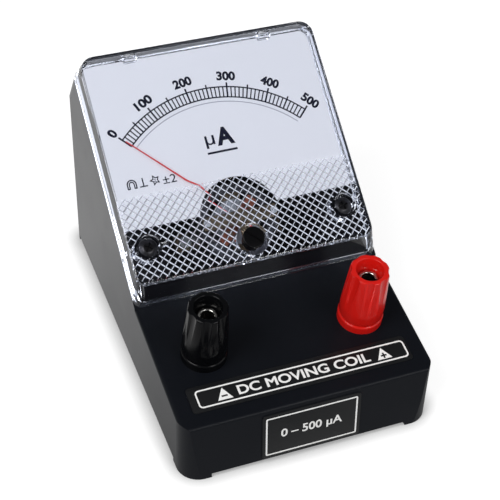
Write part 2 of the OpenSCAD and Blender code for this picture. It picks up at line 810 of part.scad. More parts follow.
// Pivot screws with jewel seats, in the bridge and in the frame's disc
module jewel_screws() {
    color("#c9a227") pivot() {
        difference() {
            disc(bridge_low, bridge_top + jewel_h, jewel_d / 2);
            disc(bridge_low - cut, bridge_low + seat_l, shaft_d / 2 + run);
        }
        difference() {
            disc(disc_low, ring_low + 2 * run, jewel_d / 2);
            disc(ring_low - seat_l, ring_low + cut, shaft_d / 2 + run);
        }
    }
}

// Flat spiral of half rings whose centres alternate
module spiral(z0) {
    ring(z0 - 2 * run, z0 + spring_w + 2 * run, shaft_d / 2 + run, collet_d / 2);
    for (i = [0:spring_turns - 1]) {
        r = collet_d / 2 + spring_pitch / 2 * (i + 0.5);
        translate([0, (i % 2 == 0 ? 1 : -1) * spring_pitch / 4, z0]) rotate([0, 0, i % 2 == 0 ? -90 : 90])
            rotate_extrude(angle = 180) translate([r - spring_t / 2, 0]) square([spring_t, spring_w]);
    }
}

module lower_spring() {
    color("#b87333") pivot() spiral(spring_low_n);
}

module upper_spring() {
    color("#b87333") pivot() spiral(spring_top_n);
}

module zero_screw() {
    collar_top = -zero_boss_l - 2 * run;
    color("#191a1c") face() translate([0, zero_s, 0]) difference() {
        union() {
            disc(run, zero_head_h, zero_head_d / 2);
            disc(collar_top - zero_collar_t, 2 * run, zero_shank_d / 2);
            disc(collar_top - zero_collar_t, collar_top, zero_collar_d / 2);
            translate([0, -zero_ecc, 0]) disc(lever_low - 4 * run, collar_top - run, zero_pin_d / 2);
        }
        rotate([0, 0, -45]) slab(-zero_head_d, -zero_slot_w / 2, zero_head_h - zero_slot_l, zero_head_d,
            zero_slot_w / 2, zero_head_h + cut);
    }
}

// Zero lever: turns on the jewel screw, forked round the eccentric pin
module zero_lever() {
    pin_r = pivot_s - zero_s + zero_ecc;
    slot = zero_pin_d / 2 + 2 * run;
    color("#b08d57") pivot() difference() {
        union() {
            disc(lever_low, lever_top, jewel_d / 2 + lever_ring);
            slab(-lever_w / 2, -pin_r - fork_l, lever_low, lever_w / 2, -jewel_d / 2, lever_top);
            slab(-anchor_d / 2, -spring_r - anchor_d, spring_top_n, anchor_d / 2, -spring_r - 2 * run,
                lever_top);
        }
        disc(lever_low - cut, lever_top + cut, jewel_d / 2 + run);
        slab(-slot, -pin_r - 2 * fork_l, lever_low - run, slot, -pin_r + fork_l, lever_top + cut);
    }
}

module coil_former() {
    color("#c9ccd0") moving() difference() {
        slab(-former_x, -coil_w / 2, former_low, former_x, coil_w / 2, former_top);
        slab(-former_x + former_t, -coil_w, former_low + former_t, former_x - former_t, coil_w,
            former_top - former_t);
    }
}

module coil_winding() {
    color("#b5652a") moving() difference() {
        slab(-wind_x, -coil_w / 2, wind_low, wind_x, coil_w / 2, wind_top);
        slab(-former_x, -coil_w, former_low, former_x, coil_w, former_top);
    }
}

module pivot_shafts() {
    color("#d0d3d7") moving() {
        disc(wind_top, bridge_low + seat_l / 2, shaft_d / 2);
        disc(ring_low - seat_l / 2, wind_low, shaft_d / 2);
    }
}

// Pointer: hub and balance arms, an arm that climbs out of the movement, and the blade
module pointer() {
    arm_low = hub_low + hub_gap;
    arm_top = arm_low + pointer_t;
    peak = blade_n + climb_h;
    color("#c4161c") moving() difference() {
        union() {
            disc(hub_low, hub_top, hub_d / 2);
            slab(-pointer_root / 2, -tail_l, arm_low, pointer_root / 2, drop_r + pointer_t, arm_top);
            slab(-arm_l, -pointer_root / 2, arm_low, arm_l, pointer_root / 2, arm_top);
            side_extrude(pointer_root) polygon([[drop_r, arm_low], [drop_r + pointer_t, arm_low],
                [drop_r + pointer_t, blade_n - pointer_t], [climb_in + pointer_t / 2, peak - pointer_t],
                [climb_out, blade_n], [climb_out + pointer_root, blade_n],
                [climb_out + pointer_root, blade_n + pointer_t], [climb_out, blade_n + pointer_t],
                [climb_in, peak], [drop_r, blade_n]]);
            translate([0, 0, blade_n]) linear_extrude(pointer_t) polygon([[-pointer_root / 2, climb_out],
                [pointer_root / 2, climb_out], [pointer_tip / 2, pointer_r], [-pointer_tip / 2, pointer_r]]);
        }
        disc(hub_low - cut, hub_top + cut, shaft_d / 2 + glue);
    }
}

module balance_weights() {
    top = hub_low + hub_gap + pointer_t;
    color("#8f9296") moving() {
        mirrored_x() translate([arm_l - weight_d / 2, 0, 0]) disc(top, top + weight_h, weight_d / 2);
        translate([0, -tail_l + weight_d / 2, 0]) disc(top, top + tail_h, weight_d / 2);
    }
}

// Insulating collar with its spigot in the deck
module collar() {
    rotate_extrude() difference() {
        union() {
            panel(0, 0, collar_d / 2, collar_h, [0, 0, knob_r, 0]);
            translate([0, -wall]) square([spigot_d / 2, wall + collar_h / 2]);
        }
        translate([0, -wall - cut]) square([stud_d / 2 + glue, wall + collar_h + 2 * cut]);
    }
}

// Stud with a clamping shoulder and a plug socket
module stud() {
    rotate_extrude() difference() {
        union() {
            translate([0, -stud_low]) square([stud_d / 2, stud_low + stud_h]);
            translate([0, collar_h]) square([shoulder_d / 2, shoulder_h]);
        }
        translate([0, stud_h - socket_l]) square([socket_d / 2, socket_l + cut]);
    }
}

module insert() {
    ring(insert_low, insert_top, stud_d / 2 + run, insert_d / 2);
}

// Fluted cap: tapered revolve with flutes that run out above the skirt
module cap() {
    mouth = cap_mouth / 2;
    bore = stud_d / 2 + gap;
    lean = atan2(flute_low_axis - flute_top_axis, cap_h - flute_foot);
    difference() {
        rotate_extrude() rounded([[shoulder_d / 2 + gap, cap_low], [cap_wide, cap_low], [cap_wide, cap_skirt],
            [cap_narrow, cap_h], [mouth, cap_h], [bore, mouth_low], [bore, insert_top + 2 * run],
            [insert_d / 2 + run, insert_top + 2 * run], [insert_d / 2 + run, insert_low - run],
            [shoulder_d / 2 + gap, insert_low - run]], [0, knob_r, 0, knob_r, knob_r / 2, 0, 0, 0, 0, 0]);
        for (i = [0:flutes - 1]) {
            rotate([0, 0, (i + 0.5) * 360 / flutes]) translate([flute_top_axis, 0, cap_h])
                rotate([0, 180 - lean, 0]) translate([0, 0, -flute_r])
                    cylinder(h = cap_h - flute_foot + 4 * flute_r, r = flute_r);
        }
    }
}

module post_at(side) {
    deck() translate([side * post_x, post_s, 0]) children();
}

module red_collar() {
    color("#b3140f") post_at(1) collar();
}

module red_stud() {
    color("#c8cbcf") post_at(1) stud();
}

module red_insert() {
    color("#b9974f") post_at(1) insert();
}

module red_cap() {
    color("#c41912") post_at(1) cap();
}

module black_collar() {
    color("#1c1d20") post_at(-1) collar();
}

module black_stud() {
    color("#c8cbcf") post_at(-1) stud();
}

module black_insert() {
    color("#b9974f") post_at(-1) insert();
}

module black_cap() {
    color("#202125") post_at(-1) cap();
}

module under_washers() {
    color("#d8d2c0") post_points() ring(-wall - under_t, -wall, stud_d / 2 + glue, under_d / 2);
}

module solder_tags() {
    z1 = -wall - under_t;
    color("#d1c7a0") post_points() difference() {
        union() {
            disc(z1 - tag_t, z1, stud_d / 2 + tag_w / 2);
            slab(-tag_w / 2, 0, z1 - tag_t, tag_w / 2, tag_l, z1);
        }
        disc(z1 - tag_t - cut, z1 + cut, stud_d / 2 + glue);
    }
}

module stud_nuts() {
    z1 = -wall - under_t - tag_t;
    color("#c8cbcf") post_points() difference() {
        translate([0, 0, z1 - nut_h]) cylinder(h = nut_h, d = nut_d, $fn = 6);
        disc(z1 - nut_h - cut, z1 + cut, stud_d / 2 + glue);
    }
}

module deck_label() {
    color("#2b2d31") deck() linear_extrude(label_t) panel(-deck_label_w / 2, deck_label_s, deck_label_w / 2,
        deck_label_s + deck_label_l, [label_r, label_r, label_r, label_r]);
}

module front_label() {
    color("#2b2d31") front() linear_extrude(label_t) panel(-front_label_w / 2, front_label_z, front_label_w / 2,
        front_label_z + front_label_h, [label_r, label_r, label_r, label_r]);
}

case_shell();
base_plate();
base_screws();
movement_tray();
dial_plate();
front_cover();
cover_screws();
yoke_ring();
core_magnet();
core_frame();
frame_screws();
top_bridge();
bridge_screws();
jewel_screws();
lower_spring();
zero_screw();
zero_lever();
upper_spring();
coil_former();
coil_winding();
pivot_shafts();
pointer();
balance_weights();
red_collar();
red_stud();
red_insert();
red_cap();
black_collar();
black_stud();
black_insert();
black_cap();
under_washers();
solder_tags();
stud_nuts();
lead_terminals();
leads();
deck_label();
front_label();
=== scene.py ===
"""Looks of the analogue desk ammeter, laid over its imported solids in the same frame."""
import logging
import math
from dataclasses import dataclass
from enum import Enum
from typing import Callable, Optional, Sequence

import bmesh
import bpy
from mathutils import Matrix, Vector


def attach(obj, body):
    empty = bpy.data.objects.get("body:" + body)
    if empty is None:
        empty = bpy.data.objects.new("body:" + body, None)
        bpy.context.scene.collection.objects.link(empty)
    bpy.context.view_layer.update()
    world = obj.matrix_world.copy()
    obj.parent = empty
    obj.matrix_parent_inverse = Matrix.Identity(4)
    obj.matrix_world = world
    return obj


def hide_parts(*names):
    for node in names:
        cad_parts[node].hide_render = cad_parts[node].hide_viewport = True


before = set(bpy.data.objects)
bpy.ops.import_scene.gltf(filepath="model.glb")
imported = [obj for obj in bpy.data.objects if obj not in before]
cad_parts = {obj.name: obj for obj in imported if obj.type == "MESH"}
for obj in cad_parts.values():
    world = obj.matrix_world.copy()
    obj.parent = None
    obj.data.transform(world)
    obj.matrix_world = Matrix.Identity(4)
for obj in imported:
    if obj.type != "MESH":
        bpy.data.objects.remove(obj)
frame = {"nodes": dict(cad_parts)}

MM = 0.001
LOG = logging.getLogger("ammeter")
SIDES = (-1, 1)
Point = Sequence[float]
Colour = tuple[float, float, float]
Piece = bpy.types.Object
Socket = bpy.types.NodeSocket


class Body(str, Enum):
    """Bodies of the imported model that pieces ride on."""

    STAND = "stand"
    ZERO = "zero_adjuster"
    RED_KNOB = "red_knob"
    BLACK_KNOB = "black_knob"


class Slot(str, Enum):
    """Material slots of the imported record."""

    COVER = "cover_clear"
    SCREW = "screw_black"
    ZERO = "zero_black"
    LABEL = "label_print"
    DIAL = "dial_white"
    INK = "tray_black"
    RED = "red_plastic"
    BLACK = "black_plastic"
    NICKEL = "nickel"


class Kind(str, Enum):
    """Parts of a mesh that can be selected."""

    VERT = "VERT"
    EDGE = "EDGE"
    FACE = "FACE"


class Fit(str, Enum):
    """Ways of combining two solids."""

    CUT = "DIFFERENCE"
    FUSE = "UNION"


@dataclass(frozen=True)
class Stance:
    """Slopes and levels of the case that carry the other pieces, in millimetres and degrees."""

    front_y: float = -61.999
    front_lean: float = 1.6
    front_h: float = 21.5
    deck_run: float = 48.0
    deck_tilt: float = 9.1
    face_tilt: float = 35.2
    lip_h: float = 9.6

    def slope(self, y: float, z: float, tilt: float) -> Matrix:
        """Frame with its origin at y, z that is tilted about X."""
        return moved(0, y, z) @ Matrix.Rotation(math.radians(tilt), 4, "X")

    def face(self) -> Matrix:
        """Frame of the meter face: X right, Y up the face, Z out of it."""
        lip_z = self.front_h + (self.deck_run - self.front_lean) * math.tan(math.radians(self.deck_tilt))
        return self.slope(self.front_y + self.deck_run, lip_z + self.lip_h, self.face_tilt)

    def deck(self) -> Matrix:
        """Frame of the deck: X right, Y up the deck, Z out of it."""
        return self.slope(self.front_y + self.front_lean, self.front_h, self.deck_tilt)

    def front(self) -> Matrix:
        """Frame of the leaning front: X right, Y up, Z out of it."""
        angle = math.degrees(math.atan2(self.front_h, self.front_lean))
        return self.slope(self.front_y, 0, angle)


def spun(degrees: float) -> Matrix:
    """Turn about Z."""
    return Matrix.Rotation(math.radians(degrees), 4, "Z")


def moved(x: float, y: float, z: float = 0) -> Matrix:
    """Shift in millimetres."""
    return Matrix.Translation((x * MM, y * MM, z * MM))


def fillet(points: Sequence[Point], radii: Sequence[float], steps: int = 5) -> list[Point]:
    """Rounds the corners of an outline.

    Args:
        points: Corners of the outline.
        radii: Radius at each corner, 0 for a sharp one.
        steps: Facets of each rounding.

    Returns:
        The points of the rounded outline.
    """
    out: list[Point] = []
    count = len(points)
    for i, radius in enumerate(radii):
        here = Vector(points[i])
        if radius == 0:
            out.append(tuple(here))
            continue
        a = (Vector(points[i - 1]) - here).normalized()
        b = (Vector(points[(i + 1) % count]) - here).normalized()
        half = a.angle(b) / 2
        centre = here + (a + b).normalized() * radius / math.sin(half)
        first = here + a * radius / math.tan(half) - centre
        last = here + b * radius / math.tan(half) - centre
        turn = first.angle_signed(last)
        for k in range(steps + 1):
            angle = -turn * k / steps
            out.append((centre.x + first.x * math.cos(angle) - first.y * math.sin(angle),
                        centre.y + first.x * math.sin(angle) + first.y * math.cos(angle)))
    return out


class Bench:
    """Modelling operators, used as by hand on one piece at a time. Sizes are in millimetres."""

    # Thickness of print in millimetres, then two tolerances in metres
    INK = 0.03
    LOOSE = 2e-6
    CLOSE = 1e-7

    @staticmethod
    def take(*pieces: Piece) -> None:
        """Selects only some pieces and makes the first one active.

        Args:
            pieces: Pieces to select; none deselects everything.
        """
        bpy.ops.object.select_all(action="DESELECT")
        for piece in pieces:
            piece.select_set(True)
        if pieces:
            bpy.context.view_layer.objects.active = pieces[0]

    @staticmethod
    def drop(piece: Piece) -> None:
        """Removes a piece together with its mesh."""
        bpy.data.meshes.remove(piece.data)

    @staticmethod
    def call(piece: Piece, name: str) -> None:
        """Names a piece and its mesh."""
        piece.name = name
        piece.data.name = name

    @staticmethod
    def named(name: str) -> Piece:
        """Names the primitive that was just added and puts its place into its mesh.

        Args:
            name: Name of the piece.

        Returns:
            The new piece.
        """
        piece = bpy.context.object
        Bench.call(piece, name)
        bpy.ops.object.transform_apply(location=True, rotation=True, scale=True)
        return piece

    @staticmethod
    def box(name: str, low: Point, high: Point) -> Piece:
        """Adds a box between two corners.

        Args:
            name: Name of the piece.
            low: Lowest corner.
            high: Highest corner.

        Returns:
            The new piece.
        """
        Bench.take()
        centre = [(a + b) / 2 * MM for a, b in zip(low, high)]
        bpy.ops.mesh.primitive_cube_add(size=1, location=centre)
        bpy.context.object.scale = [(b - a) * MM for a, b in zip(low, high)]
        return Bench.named(name)

    @staticmethod
    def rod(name: str, radius: float, low: float, high: float, at: Point = (0, 0), sides: int = 64) -> Piece:
        """Adds an upright rod.

        Args:
            name: Name of the piece.
            radius: Radius of the rod.
            low: Level of its lower end.
            high: Level of its upper end.
            at: X and Y of its axis.
            sides: Number of sides.

        Returns:
            The new piece.
        """
        Bench.take()
        bpy.ops.mesh.primitive_cylinder_add(
            vertices=sides, radius=radius * MM, depth=(high - low) * MM,
            location=(at[0] * MM, at[1] * MM, (low + high) / 2 * MM))
        return Bench.named(name)

    @staticmethod
    def sheet(name: str, low: Point, high: Point) -> Piece:
        """Adds a flat rectangle at level zero between two corners.

        Args:
            name: Name of the piece.
            low: Lower left corner.
            high: Upper right corner.

        Returns:
            The new piece.
        """
        Bench.take()
        bpy.ops.mesh.primitive_plane_add(
            size=1, location=((low[0] + high[0]) / 2 * MM, (low[1] + high[1]) / 2 * MM, 0))
        bpy.context.object.scale = ((high[0] - low[0]) * MM, (high[1] - low[1]) * MM, 1)
        return Bench.named(name)

    @staticmethod
    def edit(piece: Piece) -> None:
        """Opens a piece in edit mode with everything selected.

        Args:
            piece: Piece to open.
        """
        Bench.take(piece)
        bpy.ops.object.mode_set(mode="EDIT")
        bpy.ops.mesh.select_mode(type="VERT")
        bpy.ops.mesh.select_all(action="SELECT")

    @staticmethod
    def leave() -> None:
        """Goes back to object mode."""
        bpy.ops.object.mode_set(mode="OBJECT")

    @staticmethod
    def choose(piece: Piece, kind: Kind, test: Callable) -> None:
        """Selects the parts of a piece in edit mode that pass a test.

        Args:
            piece: Piece that is open in edit mode.
            kind: Parts to select from.
            test: Takes one part and says whether it is selected.
        """
        bpy.ops.mesh.select_mode(type=kind.value)
        bpy.ops.mesh.select_all(action="DESELECT")
        mesh = bmesh.from_edit_mesh(piece.data)
        parts = {Kind.VERT: mesh.verts, Kind.EDGE: mesh.edges, Kind.FACE: mesh.faces}[kind]
        for part in parts:
            if test(part):
                part.select_set(True)
        bmesh.update_edit_mesh(piece.data)

    @staticmethod
    def outward(piece: Piece, merge: float = 0) -> None:
        """Turns all faces outwards, after merging doubled vertices where a distance is given.

        Args:
            piece: Piece to mend.
            merge: Distance within which vertices are merged, in metres.
        """
        Bench.edit(piece)
        if merge:
            bpy.ops.mesh.remove_doubles(threshold=merge)
        bpy.ops.mesh.normals_make_consistent(inside=False)
        Bench.leave()

    @staticmethod
    def chain(name: str, points: Sequence[Point]) -> Piece:
        """Draws an open chain of edges, by extruding one vertex from point to point.

        Args:
            name: Name of the piece.
            points: Points of the chain in order.

        Returns:
            The new piece.
        """
        Bench.take()
        bpy.ops.mesh.primitive_plane_add(size=MM)
        piece = Bench.named(name)
        Bench.edit(piece)
        bpy.ops.mesh.merge(type="CENTER")
        last = Vector((0, 0, 0))
        for index, point in enumerate(points):
            step = Vector(point) * MM - last
            if index == 0:
                bpy.ops.transform.translate(value=step)
            else:
                bpy.ops.mesh.extrude_vertices_move(TRANSFORM_OT_translate={"value": step})
            last = Vector(point) * MM
        Bench.leave()
        return piece

    @staticmethod
    def sweep(piece: Piece, degrees: float, steps: int) -> None:
        """Spins a piece about Z, merges what meets and turns its faces outwards.

        Args:
            piece: Chain of edges to spin.
            degrees: Angle of the sweep.
            steps: Facets of the sweep.
        """
        Bench.edit(piece)
        bpy.ops.mesh.spin(steps=steps, angle=math.radians(-degrees), center=(0, 0, 0), axis=(0, 0, 1))
        Bench.leave()
        Bench.outward(piece, Bench.LOOSE)

    @staticmethod
    def lathe(name: str, outline: Sequence[Point], sides: int = 96) -> Piece:
        """Turns a closed outline of radius and height about Z.

        Args:
            name: Name of the piece.
            outline: Points of radius and height, in order.
            sides: Steps round the turn.

        Returns:
            The new piece.
        """
        points = [(r, 0, z) for r, z in outline]
        on_axis = outline[0][0] == 0 and outline[-1][0] == 0
        piece = Bench.chain(name, points if on_axis else points + points[:1])
        Bench.sweep(piece, 360, sides)
        return piece

    @staticmethod
    def trim(piece: Piece, point: Point, normal: Point) -> None:
        """Cuts off what lies beyond a plane and closes the cut.

        Args:
            piece: Piece to cut.
            point: Point of the plane.
            normal: Direction of the side that is cut off.
        """
        Bench.edit(piece)
        bpy.ops.mesh.bisect(
            plane_co=[c * MM for c in point], plane_no=Vector(normal).normalized(),
            use_fill=True, clear_outer=True, threshold=Bench.CLOSE)
        Bench.leave()

    @staticmethod
    def soften(piece: Piece, test: Callable, width: float, segments: int) -> None:
        """Rounds the edges that pass a test.

        Args:
            piece: Piece to round.
            test: Takes an edge and says whether it is rounded.
            width: Width of the rounding.
            segments: Facets of the rounding.
        """
        Bench.edit(piece)
        Bench.choose(piece, Kind.EDGE, test)
        bpy.ops.mesh.bevel(offset=width * MM, offset_type="OFFSET", segments=segments, affect="EDGES")
        Bench.leave()

    @staticmethod
    def finish_with(piece: Piece, kind: str, **settings: object) -> None:
        """Adds one modifier and applies it.

        Args:
            piece: Piece to change.
            kind: Type of the modifier.
            settings: Properties of the modifier.
        """
        Bench.take(piece)
        modifier = piece.modifiers.new(kind.lower(), kind)
        for key, value in settings.items():
            setattr(modifier, key, value)
        bpy.ops.object.modifier_apply(modifier=modifier.name)

    @staticmethod
    def combine(piece: Piece, tool: Piece, fit: Fit) -> None:
        """Cuts a tool out of a piece or fuses it on, and removes the tool."""
        Bench.finish_with(piece, "BOOLEAN", operation=fit.value, solver="EXACT", object=tool)
        Bench.drop(tool)

    @staticmethod
    def copy(piece: Piece, name: str, matrix: Matrix) -> Piece:
        """Copies a piece with a mesh of its own and puts the copy in place.

        Args:
            piece: Piece to copy.
            name: Name of the copy.
            matrix: Place of the copy.

        Returns:
            The copy.
        """
        twin = piece.copy()
        twin.data = piece.data.copy()
        Bench.call(twin, name)
        bpy.context.scene.collection.objects.link(twin)
        Bench.place(twin, matrix)
        return twin

    @staticmethod
    def pair(piece: Piece, x: float, y: float = 0) -> list[Piece]:
        """Puts a piece on the right and a copy of it on the left.

        Args:
            piece: Piece that stands on the axis.
            x: Distance from the axis.
            y: Shift of both.

        Returns:
            The left one and the right one.
        """
        twin = Bench.copy(piece, piece.name, moved(-x, y))
        Bench.place(piece, moved(x, y))
        return [twin, piece]

    @staticmethod
    def ring(piece: Piece, turns: Sequence[float]) -> list[Piece]:
        """Copies a piece about Z and removes the first one.

        Args:
            piece: Piece to copy.
            turns: Angle of each copy, in degrees.

        Returns:
            The copies in order.
        """
        made = [Bench.copy(piece, piece.name, spun(turn)) for turn in turns]
        Bench.drop(piece)
        return made

    @staticmethod
    def place(piece: Piece, matrix: Matrix) -> None:
        """Moves a piece and puts its place into its mesh.

        Args:
            piece: Piece to move.
            matrix: Its new place.
        """
        Bench.take(piece)
        piece.matrix_world = matrix
        bpy.ops.object.transform_apply(location=True, rotation=True, scale=True)

    @staticmethod
    def join(name: str, pieces: Sequence[Piece]) -> Piece:
        """Joins pieces into one object.

        Args:
            name: Name of the joined piece.
            pieces: Pieces to join.

        Returns:
            The joined piece.
        """
        Bench.take(*pieces)
        if len(pieces) > 1:
            bpy.ops.object.join()
        Bench.call(pieces[0], name)
        return pieces[0]

    @staticmethod
    def smooth(piece: Piece, degrees: float = 30) -> None:
        """Shades a piece smooth where its faces meet at less than an angle."""
        Bench.take(piece)
        bpy.ops.object.shade_smooth_by_angle(angle=math.radians(degrees))

    @staticmethod
    def keep_border(piece: Piece, line: float) -> None:
        """Leaves only the border of a flat piece.

        Args:
            piece: Flat piece.
            line: Width of the border.
        """
        Bench.edit(piece)
        Bench.choose(piece, Kind.FACE, lambda face: True)
        bpy.ops.mesh.inset(thickness=line * MM)
        bpy.ops.mesh.delete(type="FACE")
        Bench.leave()

    @staticmethod
    def panel(name: str, low: Point, high: Point, radius: float) -> Piece:
        """Draws a flat rectangle with round corners.

        Args:
            name: Name of the piece.
            low: Lower left corner.
            high: Upper right corner.
            radius: Corner radius.

        Returns:
            The new piece.
        """
        piece = Bench.sheet(name, low, high)
        Bench.edit(piece)
        bpy.ops.mesh.bevel(offset=radius * MM, offset_type="OFFSET", segments=6, affect="VERTICES")
        Bench.leave()
        return piece

    @staticmethod
    def arc(name: str, inner: float, outer: float, start: float, end: float, steps: int = 72) -> Piece:
        """Draws a flat band of an arc about the origin.

        Args:
            name: Name of the piece.
            inner: Inner radius.
            outer: Outer radius.
            start: First angle from X, in degrees.
            end: Last angle.
            steps: Facets of the arc.

        Returns:
            The new piece.
        """
        a = math.radians(start)
        points = [(r * math.cos(a), r * math.sin(a), 0) for r in (inner, outer)]
        piece = Bench.chain(name, points)
        Bench.sweep(piece, end - start, steps)
        return piece

    @staticmethod
    def ink(piece: Piece) -> None:
        """Gives flat print its thin body of ink; lettering has one already.

        Args:
            piece: Print to thicken.
        """
        if any(v.co.z > Bench.LOOSE for v in piece.data.vertices):
            return
        Bench.outward(piece, Bench.CLOSE)
        down = sum(face.normal.z * face.area for face in piece.data.polygons) < 0
        Bench.finish_with(piece, "SOLIDIFY", thickness=Bench.INK * MM, offset=-1.0 if down else 1.0)
        Bench.outward(piece)


@dataclass(frozen=True)
class Lettering:
    """Words in print. The weight thickens the strokes, as a share of the type size."""

    words: str
    height: float
    weight: float
    width: float = 0
    at: Point = (0, 0)

    def draw(self, name: str) -> Piece:
        """Draws thin solid lettering that stands on level zero, with its middle in its place.

        Args:
            name: Name of the piece.

        Returns:
            The new piece.
        """
        Bench.take()
        bpy.ops.object.text_add()
        text = bpy.context.object.data
        text.body = self.words
        text.bevel_depth = self.weight
        text.bevel_resolution = 0
        text.resolution_u = 6
        bpy.ops.object.convert(target="MESH")
        piece = bpy.context.object
        Bench.call(piece, name)
        spots = [v.co for v in piece.data.vertices]
        low = Vector([min(c[i] for c in spots) for i in range(3)])
        high = Vector([max(c[i] for c in spots) for i in range(3)])
        tall = self.height * MM / (high.y - low.y)
        wide = self.width * MM / (high.x - low.x) if self.width else tall
        flat = Bench.INK * MM / (high.z - low.z)
        middle = Vector(((low.x + high.x) / 2, (low.y + high.y) / 2, low.z))
        Bench.place(piece, Matrix.Diagonal((wide, tall, flat, 1)) @ Matrix.Translation(-middle))
        Bench.outward(piece, Bench.CLOSE)
        Bench.place(piece, moved(*self.at))
        return piece


class Graph:
    """Adds linked nodes to a node tree."""

    BUMP_DEPTH = 0.0001

    def __init__(self, tree: bpy.types.NodeTree) -> None:
        """Keeps the tree that nodes are added to."""
        self.tree = tree

    def add(self, kind: str, links: Optional[dict] = None, **settings: object) -> bpy.types.Node:
        """Adds a node.

        Args:
            kind: Type of the node.
            links: Input name or number to a value, or to an output socket.
            settings: Properties of the node.

        Returns:
            The new node.
        """
        node = self.tree.nodes.new(kind)
        for key, value in settings.items():
            setattr(node, key, value)
        for key, value in (links or {}).items():
            if isinstance(value, Socket):
                self.tree.links.new(value, node.inputs[key])
            else:
                node.inputs[key].default_value = value
        return node

    def math(self, operation: str, *values: object, clamp: bool = False) -> Socket:
        """Adds a calculation and gives its result."""
        node = self.add("ShaderNodeMath", dict(enumerate(values)), operation=operation, use_clamp=clamp)
        return node.outputs[0]

    def span(self, value: Socket, low: float, high: float, to_low: float = 0, to_high: float = 1) -> Socket:
        """Carries a range of values over to another one.

        Args:
            value: Value to carry over.
            low: Lower end of its range.
            high: Upper end of its range.
            to_low: What the lower end becomes.
            to_high: What the upper end becomes.

        Returns:
            The new value.
        """
        node = self.add("ShaderNodeMapRange", {"Value": value, "From Min": low, "From Max": high,
                                               "To Min": to_low, "To Max": to_high})
        return node.outputs["Result"]

    def blend(self, factor: Socket, first: object, second: object, kind: str = "FLOAT") -> Socket:
        """Blends two values, or two colours of kind RGBA, by a factor."""
        node = self.add("ShaderNodeMix", {"Factor": factor, "A": first, "B": second}, data_type=kind)
        return node.outputs["Result"]

    def noise(self, vector: Socket, scale: object, detail: float, distortion: float = 0) -> Socket:
        """Adds a noise and gives its height.

        Args:
            vector: Coordinates.
            scale: Fineness of the noise.
            detail: Number of its finer layers.
            distortion: How far it is warped.

        Returns:
            The noise's value.
        """
        node = self.add("ShaderNodeTexNoise", {"Vector": vector, "Scale": scale, "Detail": detail,
                                               "Distortion": distortion})
        return node.outputs["Fac"]

    def mapped(self, vector: Socket, scale: Point, turn: Point = (0, 0, 0)) -> Socket:
        """Stretches and turns coordinates."""
        return self.add("ShaderNodeMapping", {"Vector": vector, "Rotation": turn, "Scale": scale}).outputs[0]

    def bump(self, strength: float, height: Socket) -> Socket:
        """Turns a height into a bumpy normal."""
        links = {"Strength": strength, "Distance": self.BUMP_DEPTH, "Height": height}
        return self.add("ShaderNodeBump", links).outputs["Normal"]

    def surface(self, **links: object) -> Socket:
        """Adds the main shader; words of an input's name are joined by underscores."""
        named = {key.replace("_", " "): value for key, value in links.items()}
        return self.add("ShaderNodeBsdfPrincipled", named).outputs["BSDF"]


@dataclass(frozen=True)
class Effect:
    """Shared surface effect: a node group with a vector, one setting and two masks, built once."""

    name: str
    setting: str
    usual: float
    masks: tuple[str, str]

    def draw(self, graph: Graph, vector: Socket, setting: Socket) -> tuple[Socket, Socket]:
        """Builds the inside of the group from its two inputs and gives the two masks."""
        raise NotImplementedError

    def tree(self) -> bpy.types.NodeTree:
        """Gives the node group, building it on its first use.

        Returns:
            The group's node tree.
        """
        found = bpy.data.node_groups.get(self.name)
        if found:
            return found
        tree = bpy.data.node_groups.new(self.name, "ShaderNodeTree")
        tree.interface.new_socket("Vector", in_out="INPUT", socket_type="NodeSocketVector")
        dial = tree.interface.new_socket(self.setting, in_out="INPUT", socket_type="NodeSocketFloat")
        dial.default_value = self.usual
        for label in self.masks:
            tree.interface.new_socket(label, in_out="OUTPUT", socket_type="NodeSocketFloat")
        graph = Graph(tree)
        given = graph.add("NodeGroupInput").outputs
        drawn = self.draw(graph, given["Vector"], given[self.setting])
        graph.add("NodeGroupOutput", dict(zip(self.masks, drawn)))
        return tree

    def put(self, graph: Graph, vector: Socket, setting: float) -> tuple[Socket, Socket]:
        """Places the group in a material.

        Args:
            graph: Graph of the material.
            vector: Object coordinates.
            setting: Value of the group's setting there.

        Returns:
            The two masks.
        """
        links = {"Vector": vector, self.setting: setting}
        node = graph.add("ShaderNodeGroup", links, node_tree=self.tree())
        first, second = (node.outputs[label] for label in self.masks)
        return first, second


@dataclass(frozen=True)
class Grain(Effect):
    """Fine moulding grain with slow mottling."""

    name: str = "moulding_grain"
    setting: str = "Fineness"
    usual: float = 2500.0
    masks: tuple[str, str] = ("Height", "Mottle")
    slow: float = 60.0

    def draw(self, graph: Graph, vector: Socket, setting: Socket) -> tuple[Socket, Socket]:
        """Adds fine noise to cells for the height, and spreads slow noise for the mottle.

        Args:
            graph: Graph of the group.
            vector: Object coordinates.
            setting: Fineness of the grain.

        Returns:
            Height and mottle.
        """
        cells = graph.add("ShaderNodeTexVoronoi", {"Vector": vector, "Scale": setting})
        height = graph.math("ADD", graph.noise(vector, setting, 2), cells.outputs["Distance"])
        return height, graph.span(graph.noise(vector, self.slow, 4), 0.3, 0.7)


